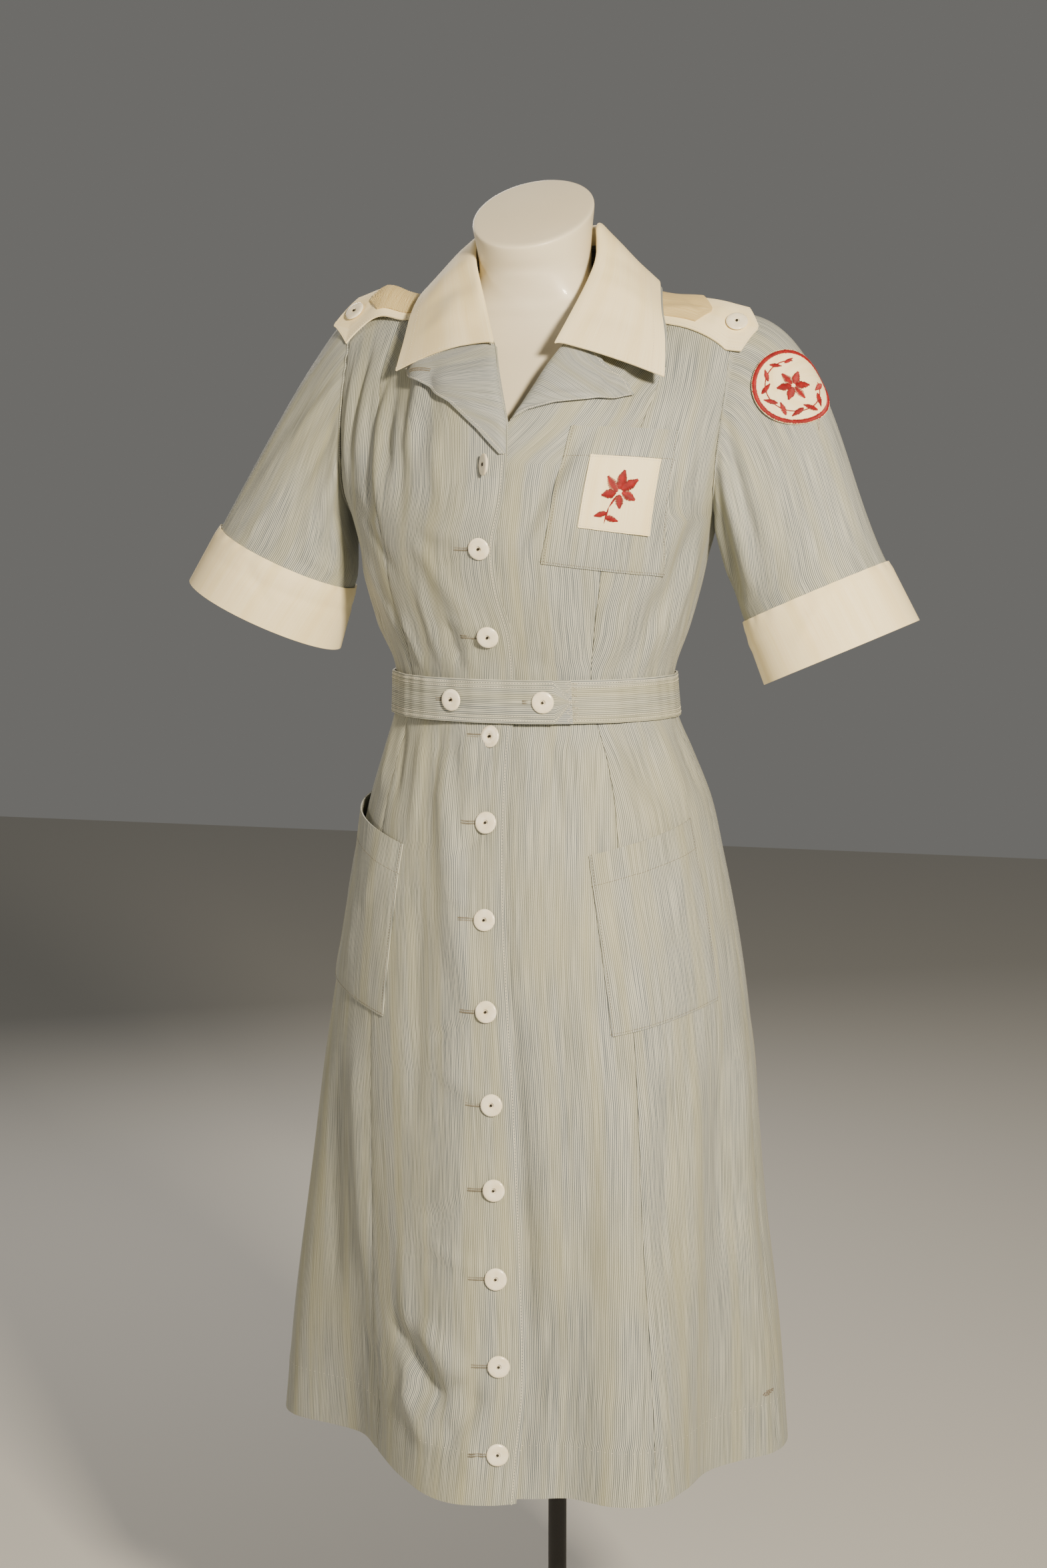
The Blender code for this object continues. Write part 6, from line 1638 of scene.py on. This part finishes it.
def badge_surface(sides, rings):
    """Points and outward directions of a round patch: its middle, then rings of points round it.

    Each point is found by walking from the middle over the left sleeve's surface.
    """
    step, strides = 0.004, 8

    def near(turn, along):
        grid = sleeve_point(LEFT, [turn, turn + step], [along, along + step])
        round_it = (grid[1, 0] - grid[0, 0]) / step
        down_it = (grid[0, 1] - grid[0, 0]) / step
        normal = np.cross(round_it, down_it)
        return grid[0, 0], round_it, down_it, normal / np.linalg.norm(normal)

    middle, _, down_it, face = near(BADGE_TURN, BADGE_ALONG)
    down = down_it / np.linalg.norm(down_it)
    sideways = np.cross(down, face)
    walks = []
    for k in range(sides):
        angle = 2 * math.pi * k / sides
        heading = sideways * math.cos(angle) + down * math.sin(angle)
        place = np.array([BADGE_TURN, BADGE_ALONG])
        walk = []
        for _ in range(strides):
            _, round_it, down_it, normal = near(*place)
            heading = heading - normal * (heading @ normal)
            heading = heading / np.linalg.norm(heading)
            skew = round_it @ down_it
            slopes = np.array([[round_it @ round_it, skew], [skew, down_it @ down_it]])
            wanted = np.array([heading @ round_it, heading @ down_it]) * BADGE_RADIUS / strides
            place = place + np.linalg.solve(slopes, wanted)
            walk.append(near(*place))
        walks.append(walk)
    found = [(middle, face)]
    for ring in rings:
        last = round(ring * strides) - 1
        found += [(walk[last][0], walk[last][3]) for walk in walks]
    return found


BADGE_SIDES = 56
surface = badge_surface(BADGE_SIDES, [k / 8 for k in range(1, 9)])
centre, rest = surface[0], surface[1:]
badge_lift = 0.0022
badge_rings = np.array([point + way * badge_lift for point, way in rest]).reshape(8, BADGE_SIDES, 3)
badge_ways = np.array([way for _, way in rest]).reshape(8, BADGE_SIDES, 3)
middle_point = centre[0] + centre[1] * badge_lift
core = middle_point + (badge_rings[:1] - middle_point) * 0.03
badge_rings = np.concatenate([core, badge_rings])
badge_ways = np.concatenate([np.broadcast_to(centre[1], (1, BADGE_SIDES, 3)), badge_ways])
disc = np.swapaxes(badge_rings, 0, 1)[::-1]
cloth("round_badge", disc, white_cotton, ["sleeve_badge"],
      closed=True, thickness=0.0012)


def badge_spot(across, up):
    """A place on the badge by its distances from the middle, and the direction out of it."""
    radius = min(math.hypot(across, up) / BADGE_RADIUS, 0.999) * 8
    place = (math.atan2(-up, across) / (2 * math.pi)) % 1.0 * BADGE_SIDES
    ring, turn = int(radius), int(place) % BADGE_SIDES
    s, t, after = radius - ring, place - int(place), (turn + 1) % BADGE_SIDES
    near = badge_rings[ring, turn] * (1 - t) + badge_rings[ring, after] * t
    far = badge_rings[ring + 1, turn] * (1 - t) + badge_rings[ring + 1, after] * t
    return near * (1 - s) + far * s, badge_ways[ring, turn]


LEAVES = [
    # angle round the badge, distance out, slant, length, widest: degrees and metres
    (200, 0.0235, 48, 0.0125, 0.0058),
    (232, 0.0245, -35, 0.0125, 0.0058),
    (262, 0.0235, 50, 0.0125, 0.0058),
    (292, 0.0245, -32, 0.0125, 0.0056),
    (322, 0.0235, 46, 0.0122, 0.0055),
    (352, 0.0245, -36, 0.0120, 0.0052),
    (22, 0.0235, 46, 0.0115, 0.0050),
    (52, 0.0242, -34, 0.0110, 0.0048),
    (82, 0.0236, 44, 0.0100, 0.0045),
    (112, 0.0240, -30, 0.0090, 0.0040),
]
leaf_rows = []
for angle, distance, slant, length, widest in LEAVES:
    a, lean = math.radians(angle), math.radians(angle + 90 + slant)
    x, y = distance * math.cos(a), distance * math.sin(a)
    dx, dy = math.cos(lean) * length / 2, math.sin(lean) * length / 2
    leaf_rows.append((x - dx, y - dy, x + dx, y + dy, widest))
for k in range(6):
    a = math.radians(18 + 60 * k)
    near, far = 0.0018, 0.0142
    leaf_rows.append((near * math.cos(a), near * math.sin(a), far * math.cos(a), far * math.sin(a), 0.0084))
badge_lines = satin(badge_spot, leaf_rows, 0.0008)


def badge_ring(radius, start, end, count, lift):
    """Points along a circle on the badge, between two angles in degrees, with the directions out."""
    turns = np.radians(np.linspace(start, end, count))
    found = [badge_spot(radius * math.cos(a), radius * math.sin(a)) for a in turns]
    return np.array([p + n * lift for p, n in found]), np.array([n for _, n in found])


badge_lines.append((*badge_ring(0.0238, 190, 480, 60, 0.0008), 0.0012))
stitches(
    "badge_sprig", badge_lines, red_silk, step=0.00042, length=0.00055, width=1.0, height=0.0009, seed=6
)
rim_line = [(*badge_ring(0.0333, 0, 360, 90, 0.0006), 0.0048)]
stitches(
    "badge_border", rim_line, red_silk, step=0.00042, length=0.00058, width=1.0, height=0.0014, seed=7
)
LOOSE_ENDS = [
    # across, up, sway, drop: ends of red silk that hang from the border
    (-0.0060, -0.0350, -0.0045, 0.0060),
    (-0.0035, -0.0352, 0.0030, 0.0090),
    (0.0300, -0.0175, 0.0050, 0.0040),
]
loose_lines = []
for across, up, sway, drop in LOOSE_ENDS:
    spot, way = badge_spot(across, up)
    turned = np.array([0.5 * sway, -0.86 * sway, 0.0])
    hung = spot + turned - np.array([0.0, 0.0, drop]) + way * 0.0012
    path = [spot, spot + turned * 0.8 + way * 0.001, hung]
    loose_lines.append((np.array(path), np.array([way] * 3), 0.5))
stitches("badge_loose_threads", loose_lines, red_silk, step=0.0012, length=0.0015, seed=14)

# Buttons: sixteen alike, pressed from cream plastic with a shallow dish on top, each held by a small
# metal rivet through its middle, coloured near black as painted shade of the hole there. Twelve close the
# front, two the belt, and one holds each strap.
BUTTON_RADIUS = 0.0095
BUTTON_PROFILE = [
    # radius, height
    (0.0060, -0.0012),
    (0.0082, -0.0009),
    (0.0093, -0.0002),
    (0.0095, 0.0003),
    (0.0092, 0.0009),
    (0.0085, 0.0013),
    (0.0074, 0.00155),
    (0.0058, 0.00165),
    (0.0040, 0.0016),
    (0.0024, 0.0014),
    (0.0019, 0.0002),
]
RIVET_PROFILE = [(0.0012, 0.0009), (0.0012, 0.0015), (0.0010, 0.0019), (0.0006, 0.0021), (0.0002, 0.00215)]
FRONT_BUTTONS = [
    # z, height of the button's middle over the left front's cloth
    (1.1512, 0.0042),
    (1.0764, 0.0046),
    (0.9890, 0.0054),
    (0.9169, 0.0049),
    (0.8360, 0.0049),
    (0.7595, 0.0049),
    (0.6815, 0.0049),
    (0.6099, 0.0052),
    (0.5352, 0.0049),
    (0.4616, 0.0046),
    (0.3861, 0.0048),
]
TOP_BUTTON = (-0.0052, 1.2195, 0.0105)  # x, z and height: it stands on the rolled edge, turned aside
TOP_BUTTON_FACING = (-0.80, -0.62, 0.06)
BELT_BUTTON_ANGLES = (-20.0, 15.8)
BUTTON_SINK = 0.0013
COVER = 0.0014


def strap_button_place(side):
    """Where a strap's button sits, and which way it faces: it clears the strap all round its rim."""
    x = side * STRAP_BUTTON_X[side]
    y = sum(strap_edges(x, side)) / 2
    turn = np.radians(np.arange(0, 360, 30))
    rim_x, rim_y = x + BUTTON_RADIUS * np.cos(turn), y + BUTTON_RADIUS * np.sin(turn)
    rim_z = strap_top(rim_x, rim_y, side)
    tilt_x = np.mean((rim_z - rim_z.mean()) * np.cos(turn)) * 2 / BUTTON_RADIUS
    tilt_y = np.mean((rim_z - rim_z.mean()) * np.sin(turn)) * 2 / BUTTON_RADIUS
    normal = Vector((-tilt_x, -tilt_y, 1.0)).normalized()
    middle = Vector((x, y, float(strap_top(np.array(x), np.array(y), side))))
    over = [(Vector(rim) - middle).dot(normal) for rim in zip(rim_x, rim_y, rim_z)]
    return middle + normal * (max(0.0, *over) + COVER / 2 + BUTTON_SINK + 0.0004), normal


cream_plastic, tree, shader = new_material("polished cream casein button", Roughness=0.22, Coat_Weight=0.3)
shader.inputs["Subsurface Weight"].default_value = 0.08
shader.inputs["Subsurface Radius"].default_value = (0.004, 0.003, 0.002)
place = put(tree, "ShaderNodeTexCoord").outputs["Object"]
cloud = put(tree, "ShaderNodeTexNoise", {"Vector": place, "Scale": 120.0, "Detail": 3.0}).outputs["Fac"]
tree.links.new(shade(tree, cloud, [(0.30, "#EBE0C2"), (0.72, "#F7F1DF")]), shader.inputs["Base Color"])
# The rivets are coloured near black: painted shade for the dark hole in each button's middle, over a small
# metal shank.
rivet_with_painted_hole_shade, tree, shader = new_material("nickel-plated brass rivet, darkened as painted hole shade", Metallic=1.0, Roughness=0.35)
place = put(tree, "ShaderNodeTexCoord").outputs["Object"]
wear = put(tree, "ShaderNodeTexNoise", {"Vector": place, "Scale": 1800.0, "Detail": 2.0}).outputs["Fac"]
tree.links.new(shade(tree, wear, [(0.35, "#24211C"), (0.70, "#5E594F")]), shader.inputs["Base Color"])

# The tree sets one lathe-turned shape on every point, its axis along the point's outward direction.
set_tree, given = new_tree("shape at each point", [
    ("Shape", "NodeSocketObject"), ("Finish", "NodeSocketMaterial"),
])
outward = put(set_tree, "GeometryNodeInputNamedAttribute", {"Name": "out"}, data_type="FLOAT_VECTOR")
facing = put(set_tree, "FunctionNodeAlignRotationToVector", {
    "Vector": outward.outputs["Attribute"],
}, axis="Z")
shape = put(set_tree, "GeometryNodeObjectInfo", {"Object": given["Shape"]})
laid = put(set_tree, "GeometryNodeInstanceOnPoints", {
    "Points": given["Geometry"], "Instance": shape.outputs["Geometry"],
    "Rotation": facing.outputs["Rotation"],
})
real = put(set_tree, "GeometryNodeRealizeInstances", {"Geometry": laid.outputs["Instances"]})
ended = put(set_tree, "GeometryNodeSetMaterial", {
    "Geometry": real.outputs["Geometry"], "Material": given["Finish"],
})
put(set_tree, "NodeGroupOutput", {"Geometry": ended.outputs["Geometry"]})

spots, ways, holes = [], [], []
for z, lift in FRONT_BUTTONS:
    x = closing_at(z)[0]
    level = level_at(np.array(x), np.array(z))
    angle = front_angle(np.array(x), level)
    spots.append(lifted(angle, level, lift))
    ways.append(body_normal(angle, level))
    hole = np.linspace(x - 0.0225, x - 0.0035, 12)
    on_front = front_place(hole, np.full(12, z), LAP_LIFT + FACE)
    holes.append((on_front, np.broadcast_to(ways[-1], on_front.shape)))
spots.append(front_place(*TOP_BUTTON))
ways.append(np.array(TOP_BUTTON_FACING))
for degrees in BELT_BUTTON_ANGLES:
    middle, out = belt_middle(np.array([degrees + 360.0]))
    spots.append(middle[0] + out[0] * (COVER / 2 + BUTTON_SINK + 0.0005))
    ways.append(out[0])
    along_belt = np.linspace(degrees + 360.0 - 7.6, degrees + 360.0 - 1.2, 12)
    middle, out = belt_middle(along_belt)
    holes.append((middle + out * 0.0010, out))
for side in (RIGHT, LEFT):
    middle, out = strap_button_place(side)
    spots.append(np.array(middle))
    ways.append(np.array(out))
holes.append((lapel_hole[0] + lapel_hole[1] * FACE, lapel_hole[1]))
button_nodes = [f"button_front_{k:02d}" for k in range(1, 13)]
button_nodes += ["button_belt_1", "button_belt_2", "button_strap_right", "button_strap_left"]
for name, profile, finish in (
    ("cream_buttons", BUTTON_PROFILE, cream_plastic), ("button_rivets", RIVET_PROFILE, rivet_with_painted_hole_shade),
):
    turn = 2 * np.pi * np.arange(40) / 40
    rings = [np.stack([r * np.cos(turn), r * np.sin(turn), np.full(40, z)], -1) for r, z in profile]
    pattern = ring_solid(f"{name}_pattern", rings, finish)
    set_out = {"out": ("FLOAT_VECTOR", ways)}
    made = grown(name, set_tree, spots, [], set_out, {"Shape": pattern}, finish)
    bpy.data.objects.remove(pattern, do_unlink=True)
    if name == "cream_buttons":
        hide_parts(*button_nodes)

# Buttonholes: a slit bound on both sides in close grey stitches. Most of each one lies under its button.
hole_lines = []
for points, out in holes:
    run = np.gradient(points, axis=0)
    sideways = np.cross(out, run)
    sideways = sideways / np.linalg.norm(sideways, axis=-1, keepdims=True)
    for off in (-0.0010, 0.0010):
        hole_lines.append((points + sideways * off, out, 0.0017))
stitches(
    "buttonhole_sewing", hole_lines, dark_thread_and_painted_edge_shade, step=0.00062, length=0.0006,
    width=1.0, height=0.0006, seed=9,
)

# Darn: a snag low on the left side, drawn together with short rows of brown darning thread.
brown_thread, tree, shader = new_material("brown darning thread", Roughness=0.75)
shader.inputs["Base Color"].default_value = srgb("#5E4731")
darn_lines = []
for k, (start, end) in enumerate(((85.9, 87.2), (85.2, 88.3), (85.6, 89.0), (86.6, 89.4))):
    angle = np.linspace(start, end, 6)
    level = np.full(6, 0.3970 + 0.0013 * k)
    darn_lines.append((lifted(angle, level, FACE), body_normal(angle, level), 1.6))
stitches("side_darn", darn_lines, brown_thread, step=0.0020, length=0.0022, seed=12)

# Studio: a pale floor under soft lamps, with the brighter one high on the right of the camera.
floor_mesh = bpy.data.meshes.new("floor")
floor_mesh.from_pydata([(-6, -6, 0), (6, -6, 0), (6, 6, 0), (-6, 6, 0)], [], [(0, 1, 2, 3)])
floor_paint, tree, shader = new_material("matt pale grey studio floor", Roughness=0.9)
shader.inputs["Base Color"].default_value = srgb("#C9C7C1")
floor_mesh.materials.append(floor_paint)
floor = bpy.data.objects.new("floor", floor_mesh)
floor.location.z = -0.0005
bpy.context.scene.collection.objects.link(floor)

world = bpy.data.worlds.new("studio")
bpy.context.scene.world = world
world.use_nodes = True
world.node_tree.nodes["Background"].inputs["Color"].default_value = srgb("#E4E2DC")
world.node_tree.nodes["Background"].inputs["Strength"].default_value = 0.20


def lamp(name, place, aim, size, power, tint):
    light = bpy.data.lights.new(name, "AREA")
    light.shape = "SQUARE"
    light.size = size
    light.energy = power
    light.color = srgb(tint)[:3]
    made = bpy.data.objects.new(name, light)
    bpy.context.scene.collection.objects.link(made)
    made.location = place
    made.rotation_euler = (Vector(aim) - Vector(place)).to_track_quat("-Z", "Y").to_euler()


lamp("key", (1.50, -1.98, 1.88), (0, 0, 1.15), 0.30, 150, "#FFEFD4")
lamp("fill", (-2.0, -1.7, 1.65), (0, 0, 1.05), 0.9, 20, "#FFF0DA")
lamp("rim", (-1.4, 2.2, 2.3), (0, 0, 1.1), 1.4, 40, "#FFF8F0")

# Camera: level with the chest, sixteen degrees round to the wearer's left and looking seven degrees down.
AZIMUTH, PITCH, DISTANCE, EYE = math.radians(16.0), math.radians(7.0), 2.5, 1.2437
FOCAL, AXIS_SHIFT = 4230.0, 17.0  # in pixels of the 2349-pixel-high frame
yaw = math.atan(AXIS_SHIFT / FOCAL)
level_ahead = Vector((-math.sin(AZIMUTH), math.cos(AZIMUTH), 0))
level_right = Vector((math.cos(AZIMUTH), math.sin(AZIMUTH), 0))
ahead = level_ahead * math.cos(yaw) - level_right * math.sin(yaw)
right = level_right * math.cos(yaw) + level_ahead * math.sin(yaw)
view = ahead * math.cos(PITCH) + Vector((0, 0, -1)) * math.sin(PITCH)
up = right.cross(view)
spot = Vector((DISTANCE * math.sin(AZIMUTH), -DISTANCE * math.cos(AZIMUTH), EYE))
lens = bpy.data.cameras.new("camera")
lens.sensor_fit = "VERTICAL"
lens.sensor_height = 36
lens.lens = 36 * FOCAL / 2349
camera = bpy.data.objects.new("camera", lens)
camera.matrix_world = Matrix((
    (right.x, up.x, -view.x, spot.x),
    (right.y, up.y, -view.y, spot.y),
    (right.z, up.z, -view.z, spot.z),
    (0, 0, 0, 1),
))
bpy.context.scene.collection.objects.link(camera)
bpy.context.scene.camera = camera
